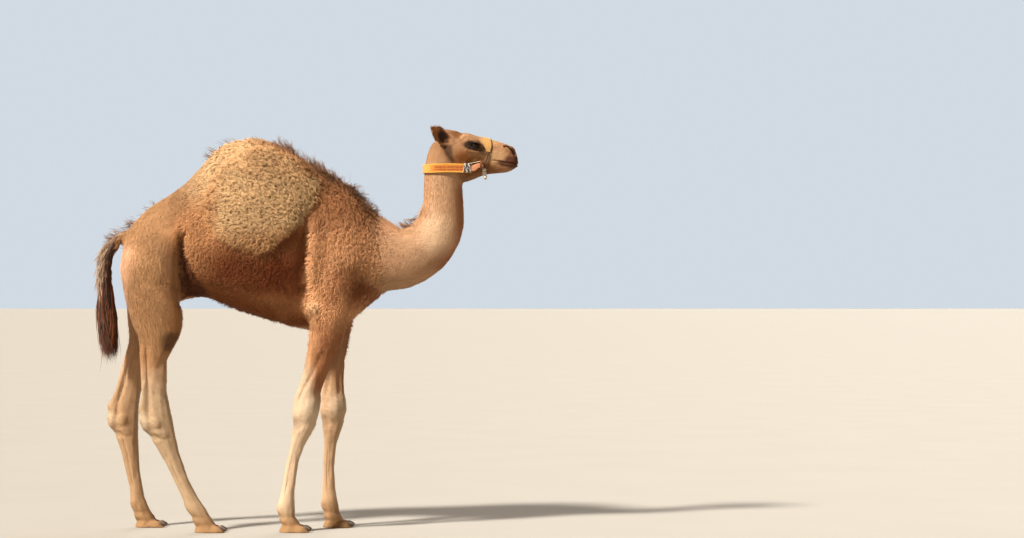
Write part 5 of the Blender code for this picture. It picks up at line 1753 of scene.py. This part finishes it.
cheek = {
    "half": 0.0145, "taper": 0.3, "climb": 0.012, "rib": 0.0026, "thread": 0.003, "wall": 0.0032,
    # the dirt tone is painted shade between the threads
    "tones": (srgb(196, 120, 78), srgb(226, 160, 118)), "dirt": (0.22, 0.08, 0.04),
    "trimThick": 0.0017, "trimPitch": 0.006, "trimTones": (srgb(176, 160, 132), srgb(236, 226, 202)),
    "yarns": 11, "yarnApart": 0.003, "yarnThick": 0.0017, "yarnSlant": 0.01,
    "yarnTones": (srgb(222, 218, 210), srgb(120, 116, 114), srgb(46, 42, 42)),
}


def makeEndLook(hand):
    look = Board(f"end_{hand}", Roughness=0.8, Specular_IOR_Level=0.3)
    _, height = weave(look, cheek["rib"], cheek["thread"])
    colour = look.mix(look.grain(look.place(), 50, 4), *cheek["tones"])
    # painted shade between the threads
    colour = look.mix((1 - height) * 0.5, colour, cheek["dirt"])
    look.feed(Base_Color=colour, Normal=look.bump(height, 0.0009, 0.8))
    return look


def makeStrapEnd(side, hand, low, high, level):  # the short strap that runs to the knot
    outer = Outside(f"halter_cheek_{hand}", "halter_strap")
    xs = np.linspace(low[0] - 0.006, high[0] + 0.006, 40)
    inner = np.clip(xs, low[0] + 0.001, high[0] - 0.001)
    ys = softened([abs(outer.hit((x, 0, level), (0, side, 0), 0.2).y) for x in inner], 4)
    heights = np.linspace(-1, 1, 15)
    bulge = 0.0012 * (1 - heights**4)
    rows, uvs = [], []
    for x, y in zip(xs, ys):
        t = (x - low[0]) / (high[0] - low[0])
        half = cheek["half"] * (1 - cheek["taper"] * step(0.7, 1.05, t))
        lifted = level + cheek["climb"] * step(0.35, 1.1, t)
        rows.append([(x, side * (y + b), lifted + h * half) for b, h in zip(bulge, heights)])
        uvs.append([(x, h * half) for h in heights])
    end = gridPiece(f"halter_end_{hand}", rows, uvs, cheek["wall"])
    declare(end, makeEndLook(hand), "strap", f"halter_cheek_{hand}")


def makeTrim(side, hand, low, level):  # a thin white cord along the top edge
    around = Outside("head", "lower_jaw", "halter_strap", f"halter_cheek_{hand}")
    trim = []
    for t in np.linspace(0, 1, 18):
        place = (low[0] - 0.03 + 0.078 * t, 0, level + 0.0215 + 0.012 * t * t)
        trim.append(around.hit(place, (0, side, 0), 0.2) + Vector((0, side * 0.0012, 0)))
    rope = twisted(softened(trim, 3), cheek["trimThick"], 2, cheek["trimPitch"], sides=6)
    declare(joinTubes(f"halter_trim_{hand}", rope), cordLook(f"trim_{hand}", *cheek["trimTones"]), "cord")


def makeWraps(side, hand, low, level):  # yarns of three shades wound slantwise over the strap's end
    strapY = abs(Outside("halter_strap").hit((low[0] - 0.004, 0, level), (0, side, 0), 0.2).y)
    made = [[], [], []]
    for n in range(cheek["yarns"]):
        start = low[0] - 0.029 + n * cheek["yarnApart"]
        slant = cheek["yarnSlant"] if n % 2 else -cheek["yarnSlant"]
        path = []
        for t in np.linspace(0, 1, 25):
            z = (0.5 - t) * (strap["wide"] + 0.002)
            lift = 0.0022 + 0.001 * math.sin(t * math.tau * 2.5 + n * math.pi)
            edge = 1 - abs(2 * t - 1) ** 8
            y = strapY - 0.0045 * (1 - edge) + lift * edge
            path.append((start + slant * (t - 0.5), side * y, level + z))
        made[n % 3].append(tubePiece(path, cheek["yarnThick"], 7))
    for shade, (tubes, tone) in enumerate(zip(made, cheek["yarnTones"])):
        look = cordLook(f"yarn_{hand}_{shade}", tone * 0.45, tone)
        declare(joinTubes(f"halter_wrap_{hand}_{shade}", tubes), look, "cord")


bandPath = makeStrap()
makeStitches(*bandPath)
makeNoseband()
makeMuzzleCord()
makeKnots()
makeRopeEnd()
for side, hand in hands:
    low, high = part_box(f"halter_cheek_{hand}")
    level = (low[2] + high[2]) / 2
    makeStrapEnd(side, hand, low, high, level)
    makeTrim(side, hand, low, level)
    makeWraps(side, hand, low, level)
print("halter")

declare(skin, makeSkinLook(), "coat", *fleshNodes)
